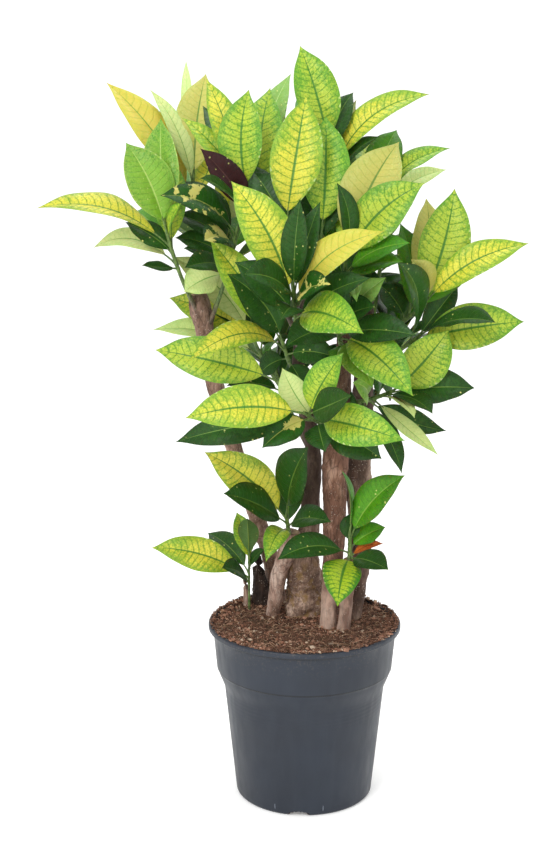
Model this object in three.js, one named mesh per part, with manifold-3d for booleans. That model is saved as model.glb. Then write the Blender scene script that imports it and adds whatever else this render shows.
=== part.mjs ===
// A potted croton: a nursery pot filled with potting soil, the woody canes and cut
// stumps that stand in the soil, and the leafy green shoots that grow out of them.
// Millimetres, +Z up. The origin is the centre of the pot's flat underside, and
// the plant's front looks along -Y.
import * as THREE from "three";
import { mergeVertices } from "three/addons/utils/BufferGeometryUtils.js";
import Module from "manifold-3d";

const wasm = await Module();
wasm.setup();

// ---- Driving dimensions ------------------------------------------------------

const POT_HEIGHT = 249;
const RIM_RADIUS = 134;
const LIP_HEIGHT = 8;
const COLLAR_TOP_RADIUS = 127.5;
const COLLAR_FOOT_RADIUS = 122.5;
const COLLAR_FOOT_HEIGHT = 185;
const NECK_RADIUS = 111.5;
const NECK_HEIGHT = 154;
const BEAD_HEIGHT = 164;
const BEAD_DEPTH = 0.8;
const BASE_RADIUS = 96;
const BASE_EDGE = 5;
const WALL = 2.4;
const FLOOR = 3;
const POT_SIDES = 28;

const DRAIN_COUNT = 3;
const DRAIN_WIDTH = 30;
const DRAIN_HEIGHT = 7;
const DRAIN_DEPTH = 14;
const DRAIN_TURN = -4; // degrees from the front of the first drain

const CLEAR = 0.38; // between two touching pieces
const SOIL_EDGE_HEIGHT = 247;
const SOIL_MIDDLE_HEIGHT = 245; // a little sunk, so that it rises to the rim
const SOIL_BUMP = 1.6;
const CANE_DEPTH = 58; // how far a cane stands in the soil
const FOOT_SHARE = 0.85; // a cane's radius at its foot, against the soil's surface
const CANE_SIDES = 9;
const CANE_STEP = 60; // height between a cane's rings

const STEM_ROOT_RADIUS = 3.6;
const STEM_TIP_RADIUS = 2.3;
const SPROUT_SHARE = 0.62; // radius of the sprout in the soil, against a shoot's
const STEM_SIDES = 5;
const STEM_STEPS = 4;
const SOCKET_RINGS = 2; // a stem's lower rings, round which its socket is cut
const BUD_LENGTH = 8;
const BUD_RADIUS = 0.8;

const LEAF_THICKNESS = 2.0; // at the midrib, thinning to the edges
const PETIOLE_SHARE = 0.14; // of the leaf's length
const PETIOLE_RADIUS = 1.7;
const LEAF_FOLD = 0.24; // rise of the edges, as a share of the half width
const LEAF_STATIONS = [0, PETIOLE_SHARE, 0.38, 0.7];
const FILL_STATIONS = [0, PETIOLE_SHARE, 0.52]; // of the leaves placed by rule
const LEAF_GAP = 1.3; // kept between a blade and every other piece
const OWN_GAP = 0.4; // and between two blades of one shoot
const LEAF_BOW = 0.1; // height of the arch, as a share of the length
const LEAF_TURN = 0.45; // how far a blade's face turns from the stem to the front
const FIRST_LEAF = 3; // from the shoot's head down to its topmost leaf base
const LEAF_SPACING = 6.5; // and from each leaf base down to the next
const FRONT = new THREE.Vector3(0, -0.97, 0.24);
const GOLDEN_ANGLE = 2.39996;

const YOUNG_HEIGHT = 760; // above this the rule's upper leaves are young ones
const YOUNG_TONES = ["gold", "lime", "pale"];
const OLD_TONES = ["green", "dark", "dark"];
const TONES = {
  gold: "#cbd452",
  yellow: "#e1de57",
  lime: "#a0c548",
  quilted: "#93b832",
  fresh: "#7fb03a",
  green: "#5d8a35",
  dark: "#2f4a26",
  cream: "#4d6033",
  pale: "#bcd083",
  butter: "#dbdb7d",
  sage: "#82a450",
  olive: "#5f6a31",
  plum: "#3a1d1c",
  dry: "#a8582c",
};

// ---- Canes -------------------------------------------------------------------
// Each point is x, y, z and radius, from the soil's surface up.

const CANES = {
  cane_tall_left: [
    [-40, 100, 246, 12.5],
    [-47, 98, 298, 12],
    [-66, 86, 366, 11.5],
    [-100, 60, 482, 11.5],
    [-124, 45, 570, 12],
    [-137, 35, 646, 12.5],
    [-144, 30, 690, 14.5],
    [-146, 29, 702, 12],
  ],
  cane_short_left: [
    [-45, 36, 246, 8.8],
    [-35, 30, 310, 11],
    [-21, 20, 352, 13.5],
    [-19, 18, 372, 12.5],
  ],
  cane_middle: [
    [1, 46, 244, 23.5],
    [1, 46, 275, 24],
    [-1, 46, 308, 24],
    [-2, 45, 334, 20],
    [6, 45, 364, 14],
    [8, 45, 411, 13],
    [12, 40, 470, 11],
    [2, 20, 540, 10.5],
    [-9, 0, 596, 8.5],
    [-8, -10, 650, 8],
    [-8, -10, 690, 7.5],
  ],
  cane_right_front: [
    [33, -12, 246, 10.5],
    [40, -10, 369, 15],
    [41, -10, 482, 17.5],
    [46, -14, 560, 15],
    [50, -20, 630, 10],
    [52, -24, 682, 8.5],
  ],
  cane_short_right: [
    [54, -22, 244, 8.5],
    [63, -29, 346, 9.5],
  ],
  cane_right_back: [
    [72, 22, 246, 7],
    [79, 24, 330, 13],
    [74, 25, 445, 17],
    [78, 22, 560, 14],
    [82, 20, 676, 9.5],
    [84, 18, 722, 8],
  ],
  stump_dark: [
    [-63, 84, 246, 12],
    [-64, 83, 274, 10.5],
    [-67, 82, 302, 8],
  ],
  stump_small: [
    [-82, 74, 245, 6],
    [-85, 73, 276, 3.5],
  ],
};

// ---- Shoots ------------------------------------------------------------------
// cane and height: where the stem leaves its cane, or root: where it starts in the
// soil. head: the stem's growing tip.
// leaves: tone, width, the leaf tip's place from the head, and, where they aren't
// the usual ones, bow and turn.
// fill: further leaves placed by rule, how many, the middle of their directions
// as an angle from +X, how wide they spread round it, and their length.

const SHOOTS = {
  shoot_left_outer: {
    cane: "cane_tall_left",
    height: 668,
    head: [-182, -35, 794],
    leaves: [
      ["gold", 50, [-166, -15, 29], 0.14, 0.15],
      ["fresh", 62, [-51, 5, 112]],
      ["fresh", 50, [-9, 35, 143], 0.1, 0.6],
      ["pale", 32, [-103, 50, -28], 0.2, 0.5],
      ["dark", 36, [-55, 15, 9]],
      ["dark", 20, [-30, -25, -43], 0.0, 0.45],
      ["lime", 24, [23, -35, 37]],
    ],
    fill: [2, 2.2, 1.6, 120],
  },
  shoot_left_inner: {
    cane: "cane_tall_left",
    height: 650,
    head: [-90, -20, 795],
    leaves: [
      ["cream", 50, [-97, -40, 45], 0.16],
      ["dark", 45, [-80, 50, 60]],
      ["cream", 42, [-40, -75, -10]],
      ["dark", 38, [-65, -60, -45]],
      ["dark", 40, [-85, 60, 15]],
      ["pale", 52, [-71, 15, -84]],
      ["dark", 38, [-83, 10, -13]],
      ["dark", 34, [-72, -25, -27]],
    ],
    fill: [2, 1.6, 1.8, 120],
  },
  shoot_left_top: {
    cane: "cane_tall_left",
    height: 692,
    head: [-150, 20, 850],
    leaves: [
      ["yellow", 54, [-117, 30, 133], 0.06, 0.55],
      ["pale", 28, [-60, 40, 124]],
      ["butter", 60, [14, 40, 145], 0.06, 0.7],
      ["pale", 17, [-18, 108, 164], 0.14, 0.45],
    ],
    fill: [2, 2.0, 2.2, 125],
  },
  shoot_middle_left: {
    cane: "cane_middle",
    height: 648,
    head: [-75, -45, 840],
    leaves: [
      ["lime", 58, [2, 0, 133], 0.06, 0.8],
      ["gold", 36, [-87, 25, 98]],
      ["gold", 42, [-56, 75, 147]],
      ["pale", 70, [27, 85, 136], 0.08, 0.6],
      ["pale", 48, [54, 167, 156]],
      ["plum", 38, [-59, -30, 60], 0.06, 0.9],
      ["dark", 30, [-64, 45, 113]],
      ["dark", 40, [10, -70, -20]],
      ["dark", 26, [-59, 35, 82]],
      ["dark", 36, [-55, -45, 26]],
    ],
    fill: [0, 0, 0, 0],
  },
  shoot_front_middle: {
    cane: "cane_middle",
    height: 626,
    head: [-15, -120, 725],
    leaves: [
      ["gold", 62, [-79, 15, 136], 0.1, 0.8],
      ["yellow", 44, [111, -25, 77], 0.17, 0.5],
      ["dark", 34, [8, -35, 118], 0.06, 0.3],
      ["dark", 32, [33, -10, 113], 0.06, 0.3],
      ["dark", 48, [-60, -80, 30]],
      ["cream", 42, [45, -80, 18]],
      ["dark", 46, [95, -15, 20]],
      ["dark", 38, [-15, -82, -25]],
      ["dark", 50, [-75, 15, 35]],
      ["lime", 56, [84, -112, -37], 0.12, 0.8],
    ],
    fill: [0, 0, 0, 0],
  },
  shoot_upper_middle: {
    cane: "cane_middle",
    height: 669,
    head: [-25, -70, 800],
    leaves: [
      ["gold", 66, [25, 35, 165], 0.06, 0.8],
      ["yellow", 26, [-53, -42, 50]],
      ["dark", 50, [-54, 0, 70]],
      ["dark", 44, [-50, 60, 80]],
      ["green", 46, [5, 125, 80]],
    ],
    fill: [2, 1.5, 1.0, 115],
  },
  shoot_upper_right: {
    cane: "cane_middle",
    height: 684,
    head: [20, -50, 790],
    leaves: [
      ["lime", 64, [5, 30, 150], 0.06, 0.8],
      ["dark", 40, [-28, -45, 7]],
      ["dark", 44, [-30, 65, 85]],
      ["dark", 48, [25, 100, 105]],
    ],
    fill: [2, 1.4, 1.2, 120],
  },
  shoot_top: {
    cane: "cane_right_back",
    height: 688,
    head: [30, 0, 895],
    leaves: [
      ["lime", 58, [-39, 20, 134], 0.06, 0.8],
      ["dark", 48, [32, 30, 75]],
      ["gold", 48, [128, -20, 72], 0.16, 0.5],
      ["dark", 30, [64, -60, 19]],
      ["green", 50, [-35, 80, 80]],
    ],
    fill: [2, 2.4, 1.2, 110],
  },
  shoot_upper_back_right: {
    cane: "cane_right_back",
    height: 714,
    head: [95, 20, 840],
    leaves: [
      ["green", 42, [94, -10, 58], 0.14, 0.45],
      ["pale", 36, [95, 45, 28]],
      ["green", 50, [26, 35, 81]],
      ["lime", 30, [31, -60, 17]],
    ],
    fill: [2, 2.3, 1.0, 110],
  },
  shoot_right_of_middle: {
    cane: "cane_right_front",
    height: 674,
    head: [50, -75, 770],
    leaves: [
      ["lime", 64, [98, -20, 88], 0.1, 0.75],
      ["butter", 74, [70, 55, 137], 0.1, 0.75],
      ["sage", 30, [13, -75, -55], 0.2, 0.5],
      ["green", 44, [80, -40, 15]],
      ["dark", 44, [45, 85, 25]],
      ["dark", 28, [-12, -40, 89], 0.1, 0.6],
      ["green", 40, [72, -35, -9]],
      ["dark", 46, [49, -30, -42]],
    ],
    fill: [2, 1.9, 1.2, 115],
  },
  shoot_right: {
    cane: "cane_right_back",
    height: 640,
    head: [155, -40, 700],
    leaves: [
      ["lime", 66, [37, 10, 148], 0.06, 0.85],
      ["gold", 46, [131, -20, 80], 0.15, 0.35],
      ["butter", 52, [5, 70, 132]],
      ["butter", 42, [-23, -65, 64], 0.12, 0.6],
      ["green", 46, [-30, 60, 100]],
      ["green", 44, [75, 90, 71]],
      ["dark", 44, [-59, 30, 22]],
    ],
    fill: [0, 0, 0, 0],
  },
  shoot_right_lower: {
    cane: "cane_right_back",
    height: 606,
    head: [150, -25, 655],
    leaves: [
      ["lime", 62, [136, -15, 21], 0.05, 0.8],
      ["dark", 42, [90, -88, 30]],
      ["dark", 38, [35, -85, -18]],
      ["dark", 34, [54, 25, 63]],
      ["dark", 50, [-47, -75, 110]],
      ["dark", 40, [-39, 35, -28]],
    ],
    fill: [0, 0, 0, 0],
  },
  shoot_front_right: {
    cane: "cane_right_front",
    height: 632,
    head: [40, -80, 685],
    leaves: [
      ["lime", 58, [95, -70, -88], 0.17, 0.5],
      ["fresh", 46, [45, -55, -80]],
      ["dark", 48, [-65, -75, -25]],
      ["dark", 44, [100, -45, -15]],
      ["sage", 40, [62, -15, 55]],
      ["dark", 46, [48, -45, 22]],
      ["dark", 42, [18, -45, 65]],
      ["dark", 40, [-9, -20, 65]],
      ["green", 44, [17, -38, -65]],
    ],
    fill: [0, 0, 0, 0],
  },
  shoot_left_middle: {
    cane: "cane_middle",
    height: 588,
    head: [-30, -50, 650],
    leaves: [
      ["dark", 56, [-70, -45, 94], 0.1, 0.7],
      ["gold", 38, [-117, -105, -9], 0.2, 0.5],
      ["gold", 52, [-96, 15, 134], 0.08, 0.6],
      ["dark", 40, [71, 30, -18]],
      ["dark", 36, [-31, 30, -48]],
      ["dark", 36, [26, 25, -66]],
    ],
    fill: [0, 0, 0, 0],
  },
  shoot_left_behind: {
    cane: "cane_middle",
    height: 532,
    head: [-75, 72, 640],
    leaves: [
      ["pale", 48, [-110, 18, 110], 0.1, 0.8],
      ["gold", 50, [-117, 25, 49], 0.05, 0.8],
      ["pale", 44, [-141, 30, 3], 0.1, 0.5],
    ],
    fill: [4, 1.9, 2.4, 125],
  },
  shoot_front_left: {
    cane: "cane_middle",
    height: 556,
    head: [-35, -90, 605],
    leaves: [
      ["lime", 58, [-158, -5, 41], 0.12, 0.8],
    ],
    fill: [0, 0, 0, 0],
  },
  shoot_front_low: {
    cane: "cane_right_front",
    height: 528,
    head: [0, -100, 565],
    leaves: [
      ["gold", 56, [-151, -50, 3], 0.12, 0.85],
      ["lime", 54, [126, -50, -25], 0.2, 0.8],
      ["cream", 42, [-55, -25, -41]],
      ["dark", 46, [-171, 30, -46]],
      ["dark", 52, [99, -10, -58], 0.08, 0.6],
      ["dark", 44, [57, -80, 39], 0.02, 0.45],
      ["pale", 40, [-30, 30, 58], 0.1, 0.6],
      ["lime", 46, [48, -35, 85]],
      ["dark", 40, [26, -20, -47]],
    ],
    fill: [0, 0, 0, 0],
  },
  shoot_right_low: {
    cane: "cane_right_front",
    height: 558,
    head: [115, -50, 585],
    leaves: [
      ["lime", 62, [72, 0, 82], 0.08, 0.7],
      ["dark", 52, [107, -10, 6], 0.06, 0.5],
      ["dark", 38, [48, -62, -18]],
      ["dark", 36, [75, 30, -60], -0.1, 0.5],
      ["pale", 27, [58, -45, -76], 0.0, 0.45],
      ["pale", 22, [34, -100, -21]],
      ["fresh", 42, [-55, -75, 25]],
      ["dark", 32, [12, -30, -105]],
      ["dark", 46, [-27, -45, 66]],
      ["dark", 34, [-55, 25, -23]],
    ],
    fill: [0, 0, 0, 0],
  },
  shoot_low_left: {
    cane: "cane_short_left",
    height: 360,
    head: [-25, -10, 405],
    leaves: [
      ["gold", 58, [-110, -30, 94], 0.06, 0.9],
      ["dark", 54, [-82, -80, 50], 0.03, 0.45],
      ["dark", 60, [29, -80, 113], 0.06, 0.6],
      ["dark", 44, [5, 75, 50]],
      ["dark", 38, [60, -82, 12]],
      ["lime", 32, [-27, -56, -51], 0.25, 0.45],
    ],
    fill: [0, 0, 0, 0],
  },
  sprout: {
    root: [-79, 50, 222],
    head: [-79, 50, 327],
    leaves: [
      ["gold", 50, [-138, -10, 14], 0.1, 0.7],
      ["dark", 40, [-63, 67, 14]],
      ["dark", 36, [-36, -48, -3]],
      ["olive", 30, [-1, -35, 65]],
      ["lime", 30, [-19, 58, 55]],
      ["dark", 20, [23, -2, 11]],
    ],
    fill: [0, 0, 0, 0],
  },
  shoot_low_right: {
    cane: "cane_short_right",
    height: 336,
    head: [61, -36, 388],
    leaves: [
      ["green", 46, [71, -35, 88], 0.08, 0.7],
      ["quilted", 52, [-18, -92, -75], 0.14, 0.5],
      ["dark", 42, [-97, -76, -17], 0.1],
      ["dark", 38, [49, -78, -29], 0.05, 0.45],
      ["green", 26, [-12, -8, 90]],
      ["green", 36, [49, 10, 4]],
      ["dry", 15, [45, -24, -13]],
    ],
    fill: [1, 1.8, 0.6, 80],
  },
  shoot_back_left: {
    cane: "cane_tall_left",
    height: 640,
    head: [-110, 125, 770],
    leaves: [],
    fill: [10, 1.9, 4.6, 140],
  },
  shoot_back_top: {
    cane: "cane_right_back",
    height: 676,
    head: [15, 130, 850],
    leaves: [],
    fill: [9, 1.5, 4.6, 140],
  },
  shoot_back_right: {
    cane: "cane_right_back",
    height: 586,
    head: [110, 130, 785],
    leaves: [
      ["dark", 46, [5, -35, -121]],
      ["dark", 40, [23, -50, -43]],
      ["dark", 48, [4, -80, -79]],
    ],
    fill: [9, 1.9, 2.6, 120],
  },
  shoot_back_middle: {
    cane: "cane_middle",
    height: 498,
    head: [30, 125, 670],
    leaves: [
      ["dark", 42, [-49, -30, -90]],
      ["dark", 44, [-4, -40, -84]],
      ["dark", 40, [35, -55, -30]],
      ["dark", 44, [-60, -40, -53]],
      ["dark", 40, [4, -65, -57]],
    ],
    fill: [6, 1.5, 3.4, 130],
  },
  shoot_back_low_left: {
    cane: "cane_middle",
    height: 476,
    head: [-50, 120, 610],
    leaves: [
      ["dark", 40, [-62, -25, -46]],
      ["dark", 44, [-11, -30, -82]],
      ["dark", 42, [31, -40, -99]],
      ["dark", 46, [51, -60, 19]],
    ],
    fill: [8, 1.9, 3.2, 130],
  },
  shoot_back_low_right: {
    cane: "cane_right_back",
    height: 520,
    head: [130, 105, 640],
    leaves: [
      ["dark", 40, [-67, -25, -96]],
      ["dark", 44, [20, -20, -53]],
      ["dark", 42, [-35, 5, -81]],
      ["dark", 46, [-48, -20, 54]],
      ["dark", 46, [55, -45, 24]],
      ["dark", 44, [-11, -30, -94]],
      ["dark", 40, [-38, -45, -94]],
    ],
    fill: [7, 1.5, 2.8, 115],
  },
};

// ---- Small helpers -----------------------------------------------------------

const vec = (p) => new THREE.Vector3(p[0], p[1], p[2]);
const mix = (a, b, t) => a + (b - a) * t;

// A Park-Miller generator, so that every run draws the same numbers.
function randomFrom(seed) {
  let state = seed;
  return () => {
    state = (state * 16807) % 2147483647;
    return state / 2147483647;
  };
}

function solidFrom(positions, triangles) {
  const vertProperties = new Float32Array(positions);
  const triVerts = new Uint32Array(triangles);
  return new wasm.Manifold(new wasm.Mesh({ numProp: 3, vertProperties, triVerts }));
}

function solidOf(geometry) {
  geometry.deleteAttribute("normal");
  geometry.deleteAttribute("uv");
  const merged = mergeVertices(geometry, 1e-3);
  return solidFrom(merged.attributes.position.array, merged.index.array);
}

// The largest body of a solid: a loose scrap is dropped and a sealed hollow filled.
function largestBody(solid) {
  const bodies = solid.decompose();
  return bodies.reduce((best, body) => (body.volume() > best.volume() ? body : best));
}

function meshOf(name, solid, material) {
  const made = solid.getMesh();
  const geometry = new THREE.BufferGeometry();
  geometry.setAttribute("position", new THREE.BufferAttribute(made.vertProperties, 3));
  geometry.setIndex(new THREE.BufferAttribute(made.triVerts, 1));
  geometry.computeVertexNormals();
  const mesh = new THREE.Mesh(geometry, material);
  mesh.name = name;
  return mesh;
}

function material(color, roughness) {
  return new THREE.MeshStandardMaterial({ color, roughness, metalness: 0 });
}

// A closed tube through rings of the given centres and radii.
function tube(centres, radii, sides) {
  const positions = [];
  const triangles = [];
  const last = centres.length - 1;
  const along = new THREE.Vector3();
  const side = new THREE.Vector3();
  const up = new THREE.Vector3();
  centres.forEach((centre, ring) => {
    along.subVectors(centres[Math.min(ring + 1, last)], centres[Math.max(ring - 1, 0)]);
    along.normalize();
    side.set(0, 1, 0).addScaledVector(along, -along.y).normalize();
    up.crossVectors(along, side);
    for (let k = 0; k < sides; k++) {
      const angle = (2 * Math.PI * k) / sides;
      const point = centre.clone();
      point.addScaledVector(side, radii[ring] * Math.cos(angle));
      point.addScaledVector(up, radii[ring] * Math.sin(angle));
      positions.push(...point.toArray());
    }
  });
  for (let ring = 0; ring < last; ring++) {
    for (let k = 0; k < sides; k++) {
      const a = ring * sides + k;
      const b = ring * sides + ((k + 1) % sides);
      triangles.push(a, b, b + sides, a, b + sides, a + sides);
    }
  }
  for (let k = 1; k < sides - 1; k++) {
    triangles.push(0, k + 1, k);
    triangles.push(last * sides, last * sides + k, last * sides + k + 1);
  }
  return solidFrom(positions, triangles);
}

// ---- Pot ---------------------------------------------------------------------

// The outside of the wall, from the floor's edge up to under the lip: radius, height.
function wallProfile() {
  const taper = (NECK_RADIUS - BASE_RADIUS) / (NECK_HEIGHT - BASE_EDGE);
  const radiusAt = (z) => BASE_RADIUS + taper * (z - BASE_EDGE);
  const lower = [
    [BASE_RADIUS, BASE_EDGE],
    [NECK_RADIUS, NECK_HEIGHT],
    [radiusAt(BEAD_HEIGHT - 2), BEAD_HEIGHT - 2],
    [radiusAt(BEAD_HEIGHT) + BEAD_DEPTH, BEAD_HEIGHT],
    [radiusAt(BEAD_HEIGHT + 2), BEAD_HEIGHT + 2],
  ];
  const shoulder = [
    [mix(NECK_RADIUS, COLLAR_FOOT_RADIUS, 0.28), COLLAR_FOOT_HEIGHT - 15],
    [mix(NECK_RADIUS, COLLAR_FOOT_RADIUS, 0.78), COLLAR_FOOT_HEIGHT - 7],
    [COLLAR_FOOT_RADIUS, COLLAR_FOOT_HEIGHT],
  ];
  return [...lower, ...shoulder, [COLLAR_TOP_RADIUS, POT_HEIGHT - LIP_HEIGHT - 1]];
}

// The inside of the wall, at the same heights as the outside.
function innerProfile() {
  const skipped = [BEAD_HEIGHT - 2, BEAD_HEIGHT, BEAD_HEIGHT + 2, COLLAR_FOOT_HEIGHT - 7];
  const upright = wallProfile().filter(([, z]) => z > BASE_EDGE && !skipped.includes(z));
  return [
    [BASE_RADIUS - WALL, FLOOR],
    ...upright.map(([r, z]) => [r - WALL, z]),
    [COLLAR_TOP_RADIUS + 1.5 - WALL, POT_HEIGHT],
  ];
}

function lathe(profile) {
  const points = profile.map(([r, z]) => new THREE.Vector2(r, z));
  const geometry = new THREE.LatheGeometry(points, POT_SIDES);
  geometry.rotateX(Math.PI / 2);
  return solidOf(geometry);
}

// An arched drain, cut through the corner of wall and floor at the given turn.
function drain(turn) {
  const half = DRAIN_WIDTH / 2;
  const arch = new THREE.Shape();
  arch.moveTo(-half, -1);
  arch.lineTo(half, -1);
  arch.quadraticCurveTo(half, DRAIN_HEIGHT, 0, DRAIN_HEIGHT);
  arch.quadraticCurveTo(-half, DRAIN_HEIGHT, -half, -1);
  const depth = DRAIN_DEPTH + 10;
  const geometry = new THREE.ExtrudeGeometry(arch, { depth, curveSegments: 3, bevelEnabled: false });
  geometry.rotateX(Math.PI / 2);
  geometry.translate(0, -(BASE_RADIUS - DRAIN_DEPTH), 0);
  geometry.rotateZ(turn);
  return solidOf(geometry);
}

function pot() {
  const outer = wallProfile();
  const inner = innerProfile().reverse();
  const lip = [
    [RIM_RADIUS - 1, POT_HEIGHT - LIP_HEIGHT],
    [RIM_RADIUS, POT_HEIGHT - LIP_HEIGHT + 1],
    [RIM_RADIUS, POT_HEIGHT - 1.5],
    [RIM_RADIUS - 1.5, POT_HEIGHT],
  ];
  const base = [
    [0, 0],
    [BASE_RADIUS - BASE_EDGE, 0],
    [BASE_RADIUS - 0.3 * BASE_EDGE, 0.3 * BASE_EDGE],
  ];
  let body = lathe([...base, ...outer, ...lip, ...inner, [0, FLOOR]]);
  for (let k = 0; k < DRAIN_COUNT; k++) {
    const turn = (2 * Math.PI * k) / DRAIN_COUNT + (DRAIN_TURN * Math.PI) / 180;
    body = body.subtract(drain(turn));
  }
  return largestBody(body);
}

// ---- Soil --------------------------------------------------------------------

function soilHeight(radius) {
  const share = Math.min(1, radius / RIM_RADIUS);
  return mix(SOIL_MIDDLE_HEIGHT, SOIL_EDGE_HEIGHT, share ** 3);
}

function soil(caneHoles) {
  const wall = innerProfile().slice(0, -1).map(([r, z]) => [r - CLEAR, z]);
  wall[0][1] += CLEAR;
  const edge = wall[wall.length - 1][0];
  const top = [edge + 0.4, edge - 12, 84, 44].map((r) => [r, soilHeight(r)]);
  const points = [[0, FLOOR + CLEAR], ...wall, ...top, [0, SOIL_MIDDLE_HEIGHT]];
  const geometry = new THREE.LatheGeometry(
    points.map(([r, z]) => new THREE.Vector2(r, z)),
    POT_SIDES,
  );
  geometry.rotateX(Math.PI / 2);
  const position = geometry.attributes.position;
  for (let k = 0; k < position.count; k++) {
    const x = position.getX(k);
    const y = position.getY(k);
    const inward = edge - 6 - Math.hypot(x, y);
    if (inward > 0 && position.getZ(k) > COLLAR_FOOT_HEIGHT) {
      const lump = Math.sin(x * 0.11) * Math.cos(y * 0.13) + Math.sin(x * 0.31 + y * 0.23);
      position.setZ(k, position.getZ(k) + SOIL_BUMP * lump * Math.min(1, inward / 20));
    }
  }
  let body = solidOf(geometry);
  for (const hole of caneHoles) body = body.subtract(hole);
  return largestBody(body);
}

// ---- Canes -------------------------------------------------------------------

function canePath(name) {
  const points = CANES[name];
  const curve = new THREE.CatmullRomCurve3(points.map(vec), false, "centripetal");
  const span = points[points.length - 1][2] - points[0][2];
  const steps = Math.max(points.length - 1, Math.round(span / CANE_STEP));
  const centres = [];
  const radii = [];
  for (let k = 0; k <= steps; k++) {
    const place = (k / steps) * (points.length - 1);
    const from = Math.min(Math.floor(place), points.length - 2);
    centres.push(curve.getPoint(k / steps));
    radii.push(mix(points[from][3], points[from + 1][3], place - from));
  }
  return { centres, radii };
}

// The cane with its foot in the soil.
function caneSolid(name) {
  const { centres, radii } = canePath(name);
  const foot = centres[0].clone();
  foot.z -= CANE_DEPTH;
  return tube([foot, ...centres], [radii[0] * FOOT_SHARE, ...radii], CANE_SIDES);
}

// The hole in the soil that the cane stands in.
function caneHole(name) {
  const { centres, radii } = canePath(name);
  const foot = centres[0].clone();
  foot.z -= CANE_DEPTH + CLEAR;
  const grown = [radii[0] * FOOT_SHARE, radii[0], radii[1]].map((r) => r + CLEAR);
  return tube([foot, centres[0], centres[1]], grown, CANE_SIDES);
}

// The middle of a cane at a height.
function caneMiddle(name, height) {
  const { centres } = canePath(name);
  const above = Math.max(1, centres.findIndex((c) => c.z >= height));
  const low = centres[above - 1];
  const high = centres[above];
  return low.clone().lerp(high, (height - low.z) / (high.z - low.z));
}

// ---- Stems -------------------------------------------------------------------

function stemCurve(shoot) {
  const root = shoot.cane ? caneMiddle(shoot.cane, shoot.height) : vec(shoot.root);
  const head = vec(shoot.head);
  const bend = new THREE.Vector3(
    mix(root.x, head.x, 0.62),
    mix(root.y, head.y, 0.62),
    mix(root.z, head.z, 0.4),
  );
  return new THREE.QuadraticBezierCurve3(root, bend, head);
}

// A stem up to one of its rings, with its bud on the last ring, or, grown by
// CLEAR, the hole round its lower rings.
function stemSolid(shoot, curve, grown, lastRing) {
  const centres = [];
  const radii = [];
  const scale = shoot.cane ? 1 : SPROUT_SHARE;
  for (let k = 0; k <= lastRing; k++) {
    const t = k / STEM_STEPS;
    centres.push(curve.getPoint(t));
    radii.push(scale * mix(STEM_ROOT_RADIUS, STEM_TIP_RADIUS, t) + grown);
  }
  if (grown > 0) centres[0].addScaledVector(curve.getTangent(0), -grown);
  if (lastRing === STEM_STEPS) {
    centres.push(curve.getPoint(1).addScaledVector(curve.getTangent(1), BUD_LENGTH));
    radii.push(BUD_RADIUS);
  }
  return tube(centres, radii, STEM_SIDES);
}

// ---- Leaves ------------------------------------------------------------------

// The midrib of a leaf, and the directions that its blade is built on.
function leafSpine(curve, tip, rank, bow, turn) {
  const axis = curve.getTangent(1);
  const drop = FIRST_LEAF + LEAF_SPACING * rank;
  const base = curve.getPoint(Math.max(0.3, 1 - drop / curve.getLength()));
  const chord = tip.clone().sub(base);
  const length = chord.length();
  chord.normalize();
  const upper = axis.clone().addScaledVector(chord, -axis.dot(chord)).normalize();
  const front = FRONT.clone().addScaledVector(chord, -FRONT.dot(chord)).normalize();
  const middle = base.clone().lerp(tip, 0.5).addScaledVector(upper, 2 * bow * length);
  const face = upper.clone().lerp(front, turn).normalize();
  return { rib: new THREE.QuadraticBezierCurve3(base, middle, tip), face, length };
}

// Half the blade's width at a share of the leaf's length, for a blade 1 wide.
function halfWidth(share) {
  const along = (share - PETIOLE_SHARE) / (1 - PETIOLE_SHARE);
  return along <= 0 ? 0 : 0.5 * Math.sin(Math.PI * along ** 0.88) ** 0.85;
}

// A leaf as a closed folded blade: at each station a left edge, the midrib's top,
// a right edge and the midrib's underside, and one point for the tip.
function leafSolid(spine, leaf, grown, firstStation) {
  const positions = [];
  const triangles = [];
  const stations = leaf.stations.slice(firstStation);
  const side = new THREE.Vector3();
  const up = new THREE.Vector3();
  for (const station of stations) {
    const centre = spine.rib.getPoint(station);
    const along = spine.rib.getTangent(station);
    side.crossVectors(along, spine.face).normalize();
    up.crossVectors(side, along);
    const half = Math.max(PETIOLE_RADIUS, halfWidth(station) * leaf.width) + grown;
    const stalk = station <= PETIOLE_SHARE;
    const thick = (stalk ? PETIOLE_RADIUS : LEAF_THICKNESS / 2) + grown;
    const rise = stalk ? 0 : LEAF_FOLD * half;
    const corners = [
      [-half, rise],
      [0, thick],
      [half, rise],
      [0, -thick],
    ];
    for (const [out, lift] of corners) {
      const point = centre.clone().addScaledVector(side, out).addScaledVector(up, lift);
      positions.push(...point.toArray());
    }
  }
  const tip = spine.rib.getPoint(1);
  tip.addScaledVector(spine.rib.getTangent(1), grown);
  positions.push(...tip.toArray());
  const end = 4 * stations.length;
  for (let k = 0; k < stations.length; k++) {
    const [left, top, right, under] = [4 * k, 4 * k + 1, 4 * k + 2, 4 * k + 3];
    const edges = [
      [left, top],
      [right, top],
      [left, under],
      [right, under],
    ];
    for (const [edge, rib] of edges) {
      const outward = (edge === left) === (rib === top);
      const faces =
        k + 1 < stations.length
          ? [
              [edge, rib, rib + 4],
              [edge, rib + 4, edge + 4],
            ]
          : [[edge, rib, end]];
      for (const [a, b, c] of faces) triangles.push(...(outward ? [a, b, c] : [a, c, b]));
    }
  }
  triangles.push(0, 3, 1, 1, 3, 2);
  return solidFrom(positions, triangles);
}

// ---- Layout of the leaves ----------------------------------------------------

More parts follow.
